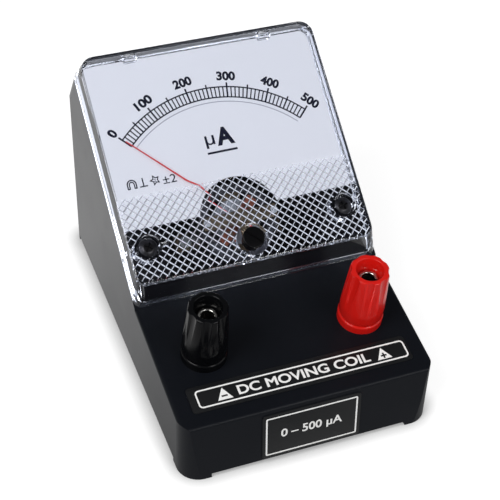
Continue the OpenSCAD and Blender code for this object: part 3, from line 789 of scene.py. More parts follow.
@dataclass(frozen=True)
class Scuffs(Effect):
    """Hairline scuffs that run in two directions, and faint smears."""

    name: str = "hairline_scuffs"
    setting: str = "Amount"
    usual: float = 0.5
    masks: tuple[str, str] = ("Scuffs", "Smear")
    length: float = 60.0
    smears: float = 45.0
    runs: tuple[Point, Point] = ((0.5, 14.0), (-0.9, 22.0))

    def draw(self, graph: Graph, vector: Socket, setting: Socket) -> tuple[Socket, Socket]:
        """Stretches noise into lines for the scuffs, and warps slow noise for the smears.

        Args:
            graph: Graph of the group.
            vector: Object coordinates.
            setting: Strength of the scuffs.

        Returns:
            Scuffs and smear.
        """
        lines = []
        for turn, stretch in self.runs:
            scale = (self.length, self.length * stretch, self.length * stretch)
            place = graph.mapped(vector, scale, (turn, 0.3, turn))
            lines.append(graph.span(graph.noise(place, 1, 3), 0.66, 0.74))
        scuffs = graph.math("MULTIPLY", graph.math("MAXIMUM", *lines), setting)
        return scuffs, graph.span(graph.noise(vector, self.smears, 3, 0.6), 0.45, 0.75)


@dataclass(frozen=True)
class Brushing(Effect):
    """Fine brushed or turned lines of bare metal, and its tarnish."""

    name: str = "brushed_lines"
    setting: str = "Fineness"
    usual: float = 900.0
    masks: tuple[str, str] = ("Lines", "Tarnish")
    stretch: Point = (1.0, 0.15, 1.0)
    tarnish: float = 240.0

    def draw(self, graph: Graph, vector: Socket, setting: Socket) -> tuple[Socket, Socket]:
        """Stretches noise into lines, and spreads slower noise for the tarnish."""
        lines = graph.noise(graph.mapped(vector, self.stretch), setting, 3)
        return lines, graph.span(graph.noise(vector, self.tarnish, 4), 0.4, 0.7)


@dataclass(frozen=True)
class Finish:
    """Base of all finishes: a named material that is made once."""

    name: str

    def material(self) -> bpy.types.Material:
        """Gives the material, making it on its first use.

        Returns:
            The material.
        """
        found = bpy.data.materials.get(self.name)
        if found:
            return found
        made = bpy.data.materials.new(self.name)
        made.use_nodes = True
        made.node_tree.nodes.clear()
        graph = Graph(made.node_tree)
        place = graph.add("ShaderNodeTexCoord")
        shader = self.shade(graph, place.outputs["Object"])
        graph.add("ShaderNodeOutputMaterial", {"Surface": shader})
        return made

    def shade(self, graph: Graph, vector: Socket) -> Socket:
        """Builds the shader on object coordinates and gives its output socket."""
        raise NotImplementedError

    def dress(self, piece: Piece) -> None:
        """Gives a piece this finish as its only material."""
        piece.data.materials.clear()
        piece.data.materials.append(self.material())


@dataclass(frozen=True)
class Moulding(Finish):
    """Moulded plastic with grain, mottling and a few scuffs."""

    colour: Colour
    pale: Colour
    gloss: float
    spread: float
    fineness: float
    depth: float
    scuffs: float
    specular: float = 0.5
    mottle: float = 0.35

    def shade(self, graph: Graph, vector: Socket) -> Socket:
        """Mixes grain and scuffs into colour, roughness and bump.

        Args:
            graph: Graph of the material.
            vector: Object coordinates.

        Returns:
            The shader's output socket.
        """
        height, mottle = Grain().put(graph, vector, self.fineness)
        scuffs, smear = Scuffs().put(graph, vector, self.scuffs)
        shift = graph.math("MULTIPLY_ADD", mottle, self.mottle, scuffs, clamp=True)
        return graph.surface(
            Base_Color=graph.blend(shift, (*self.colour, 1), (*self.pale, 1), "RGBA"),
            Roughness=graph.span(smear, 0, 1, self.gloss, self.gloss + self.spread),
            Normal=graph.bump(self.depth, height), Specular_IOR_Level=self.specular)


@dataclass(frozen=True)
class Enamel(Moulding):
    """Thin even coat, such as enamel or print."""

    gloss: float = 0.6
    spread: float = 0.1
    fineness: float = 5000.0
    depth: float = 0.03
    scuffs: float = 0.05


@dataclass(frozen=True)
class BareMetal(Finish):
    """Plated or bare metal with brushed lines and a little tarnish."""

    colour: Colour
    dull: Colour
    gloss: float = 0.3
    spread: float = 0.2
    fineness: float = 900.0
    depth: float = 0.06

    def shade(self, graph: Graph, vector: Socket) -> Socket:
        """Mixes lines and tarnish into colour, roughness and bump.

        Args:
            graph: Graph of the material.
            vector: Object coordinates.

        Returns:
            The shader's output socket.
        """
        lines, tarnish = Brushing().put(graph, vector, self.fineness)
        return graph.surface(
            Base_Color=graph.blend(tarnish, (*self.colour, 1), (*self.dull, 1), "RGBA"),
            Roughness=graph.span(lines, 0, 1, self.gloss, self.gloss + self.spread),
            Metallic=1.0, Normal=graph.bump(self.depth, lines))


@dataclass(frozen=True)
class ClearPlastic(Finish):
    """Clear acrylic that lets lamps through to what is behind it."""

    colour: Colour = (0.93, 0.95, 1.0)
    shade_colour: Colour = (0.96, 0.97, 1.0)
    bending: float = 1.59
    gloss: float = 0.005
    haze: float = 0.03
    scuffs: float = 0.6
    scuff_share: float = 0.4

    def shade(self, graph: Graph, vector: Socket) -> Socket:
        """Mixes faint scuffs into the roughness, and leaves lamps' light unbent.

        Args:
            graph: Graph of the material.
            vector: Object coordinates.

        Returns:
            The shader's output socket.
        """
        scuffs, smear = Scuffs().put(graph, vector, self.scuffs)
        worn = graph.math("MULTIPLY_ADD", scuffs, self.scuff_share, smear, clamp=True)
        glass = graph.surface(
            Base_Color=(*self.colour, 1), Roughness=graph.span(worn, 0, 1, self.gloss, self.haze),
            IOR=self.bending, Transmission_Weight=1.0)
        clear = graph.add("ShaderNodeBsdfTransparent", {"Color": (*self.shade_colour, 1)}).outputs[0]
        path = graph.add("ShaderNodeLightPath").outputs
        lamps = graph.math("MAXIMUM", path["Is Shadow Ray"], path["Is Diffuse Ray"])
        return graph.add("ShaderNodeMixShader", {0: lamps, 1: glass, 2: clear}).outputs[0]


@dataclass(frozen=True)
class PaleFloor(Finish):
    """Pale floor that keeps the object's shadow, adds a painted contact shadow to its glow, and shows white
    where it is open.
    """

    colour: Colour = (0.45, 0.45, 0.45)
    glow: float = 0.77
    # Painted contact shadow: reach, start and depth of the darkening of the camera's glow near the object
    painted_shadow_reach: float = 0.006
    painted_shadow_start: float = 0.5
    painted_shadow_share: float = 0.3
    through: float = 1.0
    # Painted reflection: glow seen only in reflections, dim in front as painted shade and bright behind as a
    # painted sheen on the case's sides
    near: float = 0.045
    far: float = 1.15
    near_y: float = -0.075
    far_y: float = 0.06

    def shade(self, graph: Graph, vector: Socket) -> Socket:
        """Adds a glow for the camera, darkened close to the object as a painted contact shadow, and one for
        reflections, dim in front as painted shade and bright behind as a painted sheen, to a matt floor.

        Args:
            graph: Graph of the material.
            vector: Object coordinates.

        Returns:
            The shader's output socket.
        """
        matt = graph.add("ShaderNodeBsdfDiffuse", {"Color": (*self.colour, 1)}).outputs[0]
        path = graph.add("ShaderNodeLightPath").outputs
        # Painted contact shadow: occlusion near the object darkens the glow that the camera sees
        close = graph.add("ShaderNodeAmbientOcclusion", {"Distance": self.painted_shadow_reach}).outputs["AO"]
        shaded = graph.span(close, self.painted_shadow_start, 1, self.painted_shadow_share * self.glow, self.glow)
        seen = graph.math("MULTIPLY", path["Is Camera Ray"], shaded)
        y = graph.add("ShaderNodeSeparateXYZ", {0: vector}).outputs["Y"]
        # Painted reflection: the floor's glow for reflected rays runs from dim in front to bright behind
        sheen = graph.span(y, self.near_y, self.far_y, self.near, self.far)
        bounced = graph.math("SUBTRACT", path["Is Glossy Ray"], path["Is Transmission Ray"], clamp=True)
        mirrored = graph.math("MULTIPLY", bounced, sheen)
        clear = graph.math("MULTIPLY_ADD", path["Is Transmission Ray"], self.through, mirrored)
        level = graph.math("ADD", seen, clear)
        glow = graph.add("ShaderNodeEmission", {"Strength": level}).outputs[0]
        return graph.add("ShaderNodeAddShader", {0: matt, 1: glow}).outputs[0]


class Palette:
    """All finishes of the ammeter."""

    CASE = Moulding("case_moulding", (0.0044, 0.0054, 0.008), (0.0076, 0.0086, 0.0116), gloss=0.37,
                    spread=0.02, fineness=2600.0, depth=0.1, scuffs=0.12, specular=0.12)
    BASE = Moulding("base_moulding", (0.012, 0.012, 0.013), (0.022, 0.022, 0.024), gloss=0.6,
                    spread=0.1, fineness=1800.0, depth=0.15, scuffs=0.3, specular=0.2)
    TRAY = Moulding("tray_moulding", (0.003, 0.003, 0.004), (0.006, 0.006, 0.007), gloss=0.55,
                    spread=0.1, fineness=2000.0, depth=0.1, scuffs=0.1, specular=0.03)
    RED = Moulding("red_moulding", (0.6, 0.008, 0.005), (0.66, 0.014, 0.01), gloss=0.2,
                   spread=0.1, fineness=1600.0, depth=0.05, scuffs=0.12, specular=0.3)
    BLACK = Moulding("black_moulding", (0.0018, 0.002, 0.0026), (0.004, 0.0043, 0.005), gloss=0.15,
                     spread=0.08, fineness=1600.0, depth=0.05, scuffs=0.15, specular=0.14)
    ZERO = Moulding("zero_moulding", (0.002, 0.002, 0.0026), (0.004, 0.004, 0.0046), gloss=0.3,
                    spread=0.1, fineness=2400.0, depth=0.06, scuffs=0.2, specular=0.15)
    FIBRE = Moulding("pressed_fibre", (0.6, 0.55, 0.42), (0.5, 0.45, 0.33), gloss=0.8,
                     spread=0.1, fineness=900.0, depth=0.3, scuffs=0.1)
    LEAD = Moulding("lead_sleeve", (0.36, 0.02, 0.02), (0.42, 0.04, 0.04), gloss=0.5,
                    spread=0.1, fineness=1500.0, depth=0.1, scuffs=0.1)
    PLATE = Moulding("plate_dark", (0.007, 0.0075, 0.0085), (0.012, 0.0125, 0.0135), gloss=0.38,
                     spread=0.12, fineness=3600.0, depth=0.06, scuffs=0.35, specular=0.25)
    DIAL = Enamel("dial_enamel", (0.83, 0.83, 0.845), (0.805, 0.805, 0.82), gloss=0.55,
                  spread=0.08, specular=0.3)
    POINTER = Enamel("pointer_enamel", (0.62, 0.03, 0.04), (0.7, 0.06, 0.06), gloss=0.45, fineness=4000.0)
    INK = Enamel("dial_ink", (0.005, 0.006, 0.016), (0.009, 0.01, 0.022), specular=0.1)
    # Grey of the painted shade line inside the scale
    PAINTED_SHADE_GREY = Enamel("dial_painted_shade_grey", (0.3, 0.31, 0.36), (0.36, 0.37, 0.42))
    WHITE = Enamel("plate_white", (0.88, 0.88, 0.87), (0.8, 0.8, 0.79), gloss=0.5, scuffs=0.1)
    SCREW_BLACK = BareMetal("blackened_steel", (0.05, 0.05, 0.055), (0.02, 0.02, 0.022), gloss=0.28,
                            spread=0.15, fineness=1500.0)
    STEEL = BareMetal("zinc_plate", (0.55, 0.56, 0.58), (0.36, 0.36, 0.36), gloss=0.25)
    YOKE = BareMetal("nickel_steel", (0.07, 0.07, 0.08), (0.04, 0.04, 0.045))
    MAGNET = BareMetal("ground_magnet", (0.28, 0.29, 0.31), (0.16, 0.16, 0.17), gloss=0.35)
    BRASS = BareMetal("lacquered_brass", (0.13, 0.1, 0.065), (0.07, 0.05, 0.035), gloss=0.25)
    BRONZE = BareMetal("spring_bronze", (0.62, 0.36, 0.16), (0.4, 0.2, 0.09))
    ALUMINIUM = BareMetal("plain_aluminium", (0.3, 0.3, 0.31), (0.18, 0.18, 0.185))
    COPPER = BareMetal("enamelled_wire", (0.3, 0.1, 0.06), (0.16, 0.05, 0.035), fineness=2600.0)
    NICKEL = BareMetal("nickel_plate", (0.72, 0.71, 0.68), (0.45, 0.44, 0.42), gloss=0.12, spread=0.12)
    COVER = ClearPlastic("clear_acrylic")
    FLOOR = PaleFloor("pale_floor")


def settle(piece: Piece, body: Body, slot: Slot, *nodes: str) -> None:
    """Makes a piece part of the model.

    Args:
        piece: The finished piece.
        body: Body that it moves with.
        slot: Material slot that its finish comes from; not used.
        nodes: Solids that it stands for.
    """
    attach(piece, body.value)
    if nodes:
        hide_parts(*nodes)
    LOG.info("piece %s: %d faces on %s", piece.name, len(piece.data.polygons), body.value)


@dataclass
class ClearCover:
    """Clear cover with its drafted walls, screw bosses, ribs, lugs and diamond band."""

    # Walls and front
    half_width: float = 41.0
    length: float = 75.6
    depth: float = 7.845
    draft: float = 1.5
    wall: float = 1.2
    front: float = 1.5
    tilt: float = 35.2
    corner: float = 4.5
    lip_corner: float = 2.5
    edge: float = 0.35
    thin: float = 0.7
    ledge: float = 1.4
    upper: float = 0.4
    ledge_n: float = 7.2
    rim_gap: float = 0.06
    # Reach of blanks and tools past the solid, tolerances, and how far fused parts sink in
    blank: float = 30.0
    side_band: float = 0.5
    touch: float = 0.01
    overlap: float = 0.1
    before: float = 3.0
    behind: float = 1.0
    root: float = 0.6
    sink: float = 0.02
    # Bosses, wells and holes
    screw_x: float = 32.9
    screw_s: float = 11.5
    boss: float = 4.2
    well: float = 3.6
    well_floor: float = 3.2
    screw_hole: float = 1.75
    zero_s: float = 6.9
    zero_boss: float = 5.2
    zero_boss_l: float = 4.9
    zero_hole: float = 2.05
    # Ribs from the bosses outwards and inwards, and lugs at the top
    rib_s: tuple[float, float] = (-0.63, 0.6)
    rib_n: tuple[float, float] = (-5.4, -0.9)
    rib_end: float = 0.3
    inner_rib_l: tuple[float, float] = (6.4, 5.2)
    inner_rib_s: tuple[float, float] = (-0.47, 0.52)
    inner_rib_n: tuple[float, float] = (-4.37, -0.87)
    lug_x: float = 22.9
    lug_half: float = 2.0
    lug_s: tuple[float, float] = (-3.4, -1.0)
    lug_n: tuple[float, float] = (-4.9, -0.9)
    lug_edge: float = 0.5
    # Diamond band and the field that carries it
    band_half: float = 37.8
    band_low: float = 1.2
    band_high: float = 26.7
    band_mid: float = 14.0
    band_body: float = 1.0
    cells: int = 54
    diamond: float = 2.8
    slope: float = 0.22
    ridge: float = 0.2
    lean: float = 0.1
    room_gap: float = 0.3
    field_step: float = 0.4
    field_margin: float = 1.2
    field_low: float = 0.5
    field_high: float = 27.7
    field_n: float = -0.8
    # Bead along the foot of the lip
    bead: float = 0.38
    bead_end: float = 1.0
    bead_in: tuple[float, float] = (0.04, -0.03)

    def body(self, inset: float, front: float, low: float, draft: float,
             ledge: float = 0, upper: float = 0) -> Piece:
        """Models the outer body, or a hollow inside it.

        Args:
            inset: Distance inside the outer walls.
            front: Distance behind the outer front.
            low: Level of the open side.
            draft: Slope of the side walls over the depth.
            ledge: Extra distance inside the side walls.
            upper: Extra distance inside the upper wall.

        Returns:
            The closed body.
        """
        half = self.half_width - inset - ledge
        top = self.length - inset - upper
        tilt = math.radians(self.tilt)
        lip = Vector((0, -math.cos(tilt), math.sin(tilt)))
        piece = Bench.box("clear_cover", (-half, -self.blank, low), (half, top, -front))
        if draft:
            for side in SIDES:
                Bench.trim(piece, (side * half, 0, -self.depth), (side * self.depth, 0, draft))
        Bench.trim(piece, (0, inset / math.cos(tilt), 0), lip)
        outer = (half - draft - self.side_band) * MM
        touch = self.touch * MM

        def at_side(edge: bmesh.types.BMEdge) -> bool:
            """Says whether an edge runs up one of the corners of the body."""
            a, b = (v.co for v in edge.verts)
            return a.x * b.x > outer ** 2 and abs(a.z - b.z) > MM

        def at_top(edge: bmesh.types.BMEdge) -> bool:
            """Says whether an edge is an upper corner of the body."""
            return at_side(edge) and all(v.co.y > top * MM - touch for v in edge.verts)

        def at_lip(edge: bmesh.types.BMEdge) -> bool:
            """Says whether an edge is a lower corner of the body."""
            return at_side(edge) and all(abs(v.co.dot(lip) + inset * MM) < touch for v in edge.verts)

        def at_rim(edge: bmesh.types.BMEdge) -> bool:
            """Says whether an edge lies in the plane of the outer front."""
            return all(abs(v.co.z) < touch for v in edge.verts)

        Bench.soften(piece, at_top, self.corner - inset, segments=6)
        Bench.soften(piece, at_lip, self.lip_corner - inset, segments=5)
        if inset == 0:
            Bench.soften(piece, at_rim, self.edge, segments=3)
        return piece

    def in_band(self, spot: Vector) -> bool:
        """Says whether a diamond's middle lies in the band."""
        return abs(spot.x) < self.band_half * MM and self.band_low * MM < spot.y < self.band_high * MM

    def band(self) -> Piece:
        """Models the grid of fine crossing ridges inside the front, with room for the bosses.

        Returns:
            The band, a little sunk into the field that carries it.
        """
        size = self.cells * self.diamond / math.sqrt(2)
        Bench.take()
        bpy.ops.mesh.primitive_grid_add(x_subdivisions=self.cells, y_subdivisions=self.cells, size=size * MM)
        piece = Bench.named("diamond_band")
        Bench.place(piece, moved(0, self.band_mid) @ spun(45))
        Bench.edit(piece)
        Bench.choose(piece, Kind.FACE, lambda face: not self.in_band(face.calc_center_median()))
        bpy.ops.mesh.delete(type="FACE")
        Bench.leave()
        Bench.finish_with(piece, "SOLIDIFY", thickness=self.band_body * MM, offset=1.0)
        Bench.edit(piece)
        Bench.choose(piece, Kind.FACE, lambda face: face.normal.z < -0.9)
        bpy.ops.mesh.inset(thickness=self.slope * MM, depth=-self.ridge * MM, use_individual=True)
        aside = -self.lean * MM / math.sqrt(2)
        bpy.ops.transform.translate(value=(aside, aside, 0))
        Bench.leave()
        Bench.place(piece, moved(0, 0, -self.front - self.field_step - self.ridge - self.sink))
        low = -self.depth - self.behind
        zero_room = Bench.rod("zero_room", self.zero_boss - self.room_gap, low, self.before, (0, self.zero_s))
        screw_room = Bench.rod("screw_room", self.boss - self.room_gap, low, self.before)
        for room in (zero_room, *Bench.pair(screw_room, self.screw_x, self.screw_s)):
            Bench.combine(piece, room, Fit.CUT)
        return piece

    def field(self) -> Piece:
        """Models the slightly thicker field of the front that carries the band."""
        half = self.band_half + self.field_margin
        return Bench.box("band_field", (-half, self.field_low, -self.front - self.field_step),
                         (half, self.field_high, self.field_n))

    def rib(self, name: str, start: float, end: float, s: Point, n: Point) -> Piece:
        """Models a rib beside a screw between two ends, edges and levels; the edges count from the screw."""
        return Bench.box(name, (min(start, end), self.screw_s + s[0], n[0]),
                         (max(start, end), self.screw_s + s[1], n[1]))

    def fittings(self) -> list[Piece]:
        """Models the bosses, ribs and lugs that are fused to the inside.

        Returns:
            The fittings, in the order in which they are fused on.
        """
        zero_boss = Bench.rod("zero_boss", self.zero_boss, -self.zero_boss_l, -self.root, (0, self.zero_s))
        made = [zero_boss, self.foot()]
        boss = Bench.rod("screw_boss", self.boss, self.rim_gap - self.depth, -self.root)
        bosses = Bench.pair(boss, self.screw_x, self.screw_s)
        lug = Bench.box("lug", (-self.lug_half, self.length + self.lug_s[0], self.lug_n[0]),
                        (self.lug_half, self.length + self.lug_s[1], self.lug_n[1]))
        end = (self.lug_n[0] + self.touch) * MM
        Bench.soften(lug, lambda edge: all(v.co.z < end for v in edge.verts), self.lug_edge, segments=2)
        lugs = Bench.pair(lug, self.lug_x)
        wall = self.half_width - self.draft - self.rib_end
        for index, side in enumerate(SIDES):
            x = side * self.screw_x
            inner = x - side * self.inner_rib_l[index]
            made += [bosses[index], self.rib("boss_rib", x, side * wall, self.rib_s, self.rib_n),
                     self.rib("inner_rib", x, inner, self.inner_rib_s, self.inner_rib_n), lugs[index]]
        return made

    def foot(self) -> Piece:
        """Models the small bead along the foot of the lip.

        Returns:
            The bead.
        """
        reach = self.half_width - self.lip_corner - self.bead_end
        tilt = math.radians(self.tilt)
        drop = self.bead + self.sink - self.depth / math.cos(tilt)
        bead = Bench.rod("foot_bead", self.bead, -reach, reach, sides=16)
        Bench.place(bead, Matrix.Rotation(math.pi / 2, 4, "Y"))
        Bench.place(bead, moved(0, drop * math.sin(tilt), drop * math.cos(tilt)) @ moved(0, *self.bead_in))
        return bead

    def openings(self) -> list[Piece]:
        """Models the screw wells and the holes through the cover.

        Returns:
            The tools that cut them.
        """
        low = -self.depth - self.behind
        made = [Bench.rod("zero_hole", self.zero_hole, low, self.before, (0, self.zero_s))]
        well = Bench.rod("screw_well", self.well, self.well_floor - self.depth, self.before)
        hole = Bench.rod("screw_hole", self.screw_hole, low, 0)
        wells, holes = (Bench.pair(tool, self.screw_x, self.screw_s) for tool in (well, hole))
        for pair in zip(wells, holes):
            made += pair
        return made

    def build(self, stance: Stance) -> Piece:
        """Models the cover and puts it on the face.

        Args:
            stance: Slopes of the case.

        Returns:
            The finished cover.
        """
        piece = self.body(0, 0, self.rim_gap - self.depth, self.draft)
        dial_room = self.body(self.wall, self.ledge_n, -self.depth - self.behind, self.draft)
        Bench.combine(piece, dial_room, Fit.CUT)
        low = -self.ledge_n - self.overlap
        needle_room = self.body(self.thin, self.front, low, 0, self.ledge, self.upper)
        Bench.combine(piece, needle_room, Fit.CUT)
        for part in (self.field(), self.band(), *self.fittings()):
            Bench.combine(piece, part, Fit.FUSE)
        for part in self.openings():
            Bench.combine(piece, part, Fit.CUT)
        Bench.smooth(piece, degrees=24)
        Bench.place(piece, stance.face())
        return piece

    def dress(self, piece: Piece) -> None:
        """Gives the cover its clear finish and its place in the model."""
        Palette.COVER.dress(piece)
        settle(piece, Body.STAND, Slot.COVER, "front_cover")


@dataclass
class CoverScrews:
    """Black screws with a cross recess, at the bottom of the cover's wells."""

    x: float = 32.9
    s: float = 11.5
    seat: float = -4.645
    head: float = 3.1
    head_h: float = 2.4
    crown: float = 1.6
    crown_h: float = 0.7
    shank: float = 1.5
    tip: float = -16.845
    point: float = 1.0
    rounding: tuple[float, ...] = (0, 0, 0, 0, 0.5, 1.5, 0)
    recess: tuple[float, float, float] = (1.5, 0.35, 1.1)
    turns: tuple[float, float] = (20, 110)
    left_turn: float = 35

    def build(self, stance: Stance) -> Piece:
        """Models one screw, copies it and joins both.

        Args:
            stance: Slopes of the case.

        Returns:
            The pair of screws.
        """
        top = self.seat + self.head_h
        corners = [(0, self.tip), (self.shank, self.tip + self.point), (self.shank, self.seat),
                   (self.head, self.seat), (self.head, top - self.crown_h), (self.crown, top), (0, top)]
        screw = Bench.lathe("cover_screw", fillet(corners, self.rounding), sides=64)
        half, thick, deep = self.recess
        arm = Bench.box("recess", (-half, -thick, top - deep), (half, thick, top + 1))
        for tool in Bench.ring(arm, self.turns):
            Bench.combine(screw, tool, Fit.CUT)
        Bench.smooth(screw)
        twin = Bench.copy(screw, "cover_screw_twin", stance.face() @ moved(self.x, self.s))
        Bench.place(screw, stance.face() @ moved(-self.x, self.s) @ spun(self.left_turn))
        return Bench.join("cover_screw_pair", [screw, twin])

    def dress(self, piece: Piece) -> None:
        """Gives the screws their blackened finish and their place in the model."""
        Palette.SCREW_BLACK.dress(piece)
        settle(piece, Body.STAND, Slot.SCREW, "cover_screws")


@dataclass
class ZeroScrew:
    """Zero adjuster with a slotted round head and an eccentric pin."""

    s: float = 6.9
    head: float = 3.55
    head_h: float = 0.9
    rounding: tuple[float, ...] = (0, 0, 0, 0, 0, 0, 0.35, 0)
    seat: float = 0.05
    shank: float = 2.0
    collar: float = 3.0
    collar_n: tuple[float, float] = (-5.8, -5.0)
    slot: float = 0.7
    slot_depth: float = 0.5
    slot_turn: float = -45
    pin: float = 0.6
    pin_n: tuple[float, float] = (-8.695, -5.6)
    pin_s: float = -0.9

    def build(self, stance: Stance) -> Piece:
        """Models the screw in its hole.

        Args:
            stance: Slopes of the case.

        Returns:
            The finished screw.
        """
        low, high = self.collar_n
        corners = [(0, low), (self.collar, low), (self.collar, high), (self.shank, high),
                   (self.shank, self.seat), (self.head, self.seat), (self.head, self.head_h),
                   (0, self.head_h)]
        piece = Bench.lathe("zero_knob", fillet(corners, self.rounding), sides=72)
        reach = self.head + 5
        groove = Bench.box("groove", (-reach, -self.slot / 2, self.head_h - self.slot_depth),
                           (reach, self.slot / 2, self.head_h + 2))
        Bench.place(groove, spun(self.slot_turn))
        Bench.combine(piece, groove, Fit.CUT)
        pin = Bench.rod("pin", self.pin, *self.pin_n, (0, self.pin_s), sides=24)
        Bench.combine(piece, pin, Fit.FUSE)
        Bench.smooth(piece)
        Bench.place(piece, stance.face() @ moved(0, self.s))
        return piece

    def dress(self, piece: Piece) -> None:
        """Gives the screw its black moulding and its place in the model."""
        Palette.ZERO.dress(piece)
        settle(piece, Body.ZERO, Slot.ZERO, "zero_screw")


@dataclass
class DialPrint:
    """Scale, numbers, unit and signs printed on the dial plate, and a grey arc of painted shade."""

    # Place of the scale, then its arcs
    level: float = -7.335
    pivot_s: float = 16.1
    turn: float = -1.2
    shift: tuple[float, float] = (-0.67, -0.65)
    half: float = 44.1
    inner: float = 41.2
    outer: float = 44.73
    line: float = 0.22
    # Painted shade line: a thin grey arc inside the scale that stands for the shade at a slight step in the
    # dial
    grey: float = 39.7
    shade_line_half: float = 0.13
    # Ticks, each with its outer radius and width
    divisions: int = 50
    major: tuple[float, float] = (46.2, 0.56)
    middle: tuple[float, float] = (45.9, 0.48)
    minor: tuple[float, float] = (44.73, 0.4)
    # Numbers and unit
    numbers: float = 48.45
    number_h: float = 3.15
    number_w: float = 6.3
    zero_w: float = 2.2
    number_weight: float = 0.045
    mu: Lettering = Lettering("µ", 4.3, 0.004, 3.2, (-3.35, 42.2))
    ampere: Lettering = Lettering("A", 6.1, 0.045, 6.0, (1.85, 43.4))
    bar: tuple[Point, Point] = ((-5.2, 38.1), (5.0, 38.8))
    # Signs for a moving coil, upright use, test voltage and accuracy
    magnet_at: tuple[float, float] = (-31.9, 33.4)
    magnet_arcs: tuple[Point, Point] = ((1.22, 1.62), (0.6, 0.96))
    magnet_legs: tuple[tuple[Point, Point], ...] = (
        ((1.22, -1.5), (1.62, 0)), ((0.6, -1.2), (0.96, 0)), ((0.6, -1.55), (1.62, -1.17)))
    upright_at: tuple[float, float] = (-28.2, 33.4)
    upright: tuple[tuple[Point, Point], ...] = (((-0.2, -1.3), (0.2, 1.5)), ((-1.3, -1.5), (1.3, -1.12)))
    star_at: tuple[float, float] = (-24.3, 33.4)
    star_r: float = 1.85
    star_notch: float = 0.5
    star_line: float = 0.32
    volts: Lettering = Lettering("2", 0.95, 0.02, at=(-24.3, 33.35))
    accuracy: Lettering = Lettering("±2", 2.75, 0.004, 4.4, (-19.6, 32.9))

    def angle(self, index: float) -> float:
        """Turn of a division from the middle of the scale, in degrees."""
        return self.half - 2 * self.half * index / self.divisions

    def centre(self) -> Matrix:
        """Place and turn of the printed scale, a little off the pivot."""
        return moved(self.shift[0], self.pivot_s + self.shift[1]) @ spun(self.turn)

    def band(self, name: str, radius: float, line: float) -> Piece:
        """Draws a flat arc over the length of the scale; line is half the width of what is drawn."""
        return Bench.arc(name, radius - line, radius + line, 90 - self.half, 90 + self.half)

    def ticks(self) -> list[Piece]:
        """Draws one tick of each length and copies it to its divisions.

        Returns:
            The flat ticks.
        """
        marks: dict[tuple[float, float], list[int]] = {self.major: [], self.middle: [], self.minor: []}
        for index in range(self.divisions + 1):
            kind = self.minor if index % 5 else self.middle if index % 10 else self.major
            marks[kind].append(index)
        made = []
        for (top, width), places in marks.items():
            tick = Bench.sheet("tick", (-width / 2, self.inner), (width / 2, top))
            made += Bench.ring(tick, [self.angle(index) for index in places])
        return made

    def scale(self) -> list[Piece]:
        """Draws the two arcs, the ticks and the numbers about the pivot.

        Returns:
            The marks in their places on the dial.
        """
        made = [self.band("outer_arc", self.outer, self.line), self.band("inner_arc", self.inner, self.line)]
        made += self.ticks()
        for index in range(0, self.divisions + 1, 10):
            width = self.number_w if index else self.zero_w
            number = Lettering(str(index * 10), self.number_h, self.number_weight, width).draw("number")
            Bench.place(number, spun(self.angle(index)) @ moved(0, self.numbers))
            made.append(number)
        for mark in made:
            Bench.place(mark, self.centre())
        return made

    def signs(self) -> list[Piece]:
        """Draws the signs for a moving coil, upright use and test voltage.

        Returns:
            The marks in their places on the dial.
        """
        magnet = [Bench.arc("magnet_arc", *radii, 0, 180, steps=24) for radii in self.magnet_arcs]
        for low, high in self.magnet_legs:
            leg = Bench.sheet("magnet_leg", low, high)
            magnet += [leg, Bench.copy(leg, "magnet_leg", moved(-low[0] - high[0], 0))]
        upright = [Bench.sheet("upright", low, high) for low, high in self.upright]
        for marks, at in ((magnet, self.magnet_at), (upright, self.upright_at)):
            for mark in marks:
                Bench.place(mark, moved(*at))
        return magnet + upright + [self.star()]

    def star(self) -> Piece:
        """Draws the outlined star of the test voltage.

        Returns:
            The flat star.
        """
        Bench.take()
        bpy.ops.mesh.primitive_circle_add(vertices=10, radius=self.star_r * MM, fill_type="NGON",
                                          rotation=(0, 0, math.pi / 2))
        piece = Bench.named("star")
        Bench.edit(piece)
        Bench.choose(piece, Kind.VERT, lambda v: v.index % 2 == 1)
        bpy.ops.transform.resize(value=(self.star_notch, self.star_notch, 1))
        Bench.leave()
        Bench.keep_border(piece, self.star_line)
        Bench.place(piece, moved(*self.star_at))
        return piece

    def build(self, stance: Stance) -> tuple[Piece, Piece]:
        """Draws all the print, and the grey arc of painted shade, just above the dial plate.

        Args:
            stance: Slopes of the case.

        Returns:
            The dark print and the pale grey arc of painted shade.
        """
        letters = [words.draw("lettering") for words in (self.mu, self.ampere, self.accuracy, self.volts)]
        marks = self.scale() + self.signs() + letters + [Bench.sheet("bar", *self.bar)]
        # Painted shade line inside the scale
        arc = self.band("dial_painted_shade_line", self.grey, self.shade_line_half)
        Bench.place(arc, self.centre())
        for mark in (*marks, arc):
            Bench.ink(mark)
        dark = Bench.join("dial_print", marks)
        for piece in (dark, arc):
            Bench.place(piece, stance.face() @ moved(0, 0, self.level))
        return dark, arc

    def dress(self, dark: Piece, arc: Piece) -> None:
        """Gives the print its ink, the painted shade line its grey, and both their place in the model.

        Args:
            dark: The dark print.
            arc: The pale grey arc of painted shade.
        """
        Palette.INK.dress(dark)
        Palette.PAINTED_SHADE_GREY.dress(arc)
        settle(dark, Body.STAND, Slot.INK)
        settle(arc, Body.STAND, Slot.DIAL)


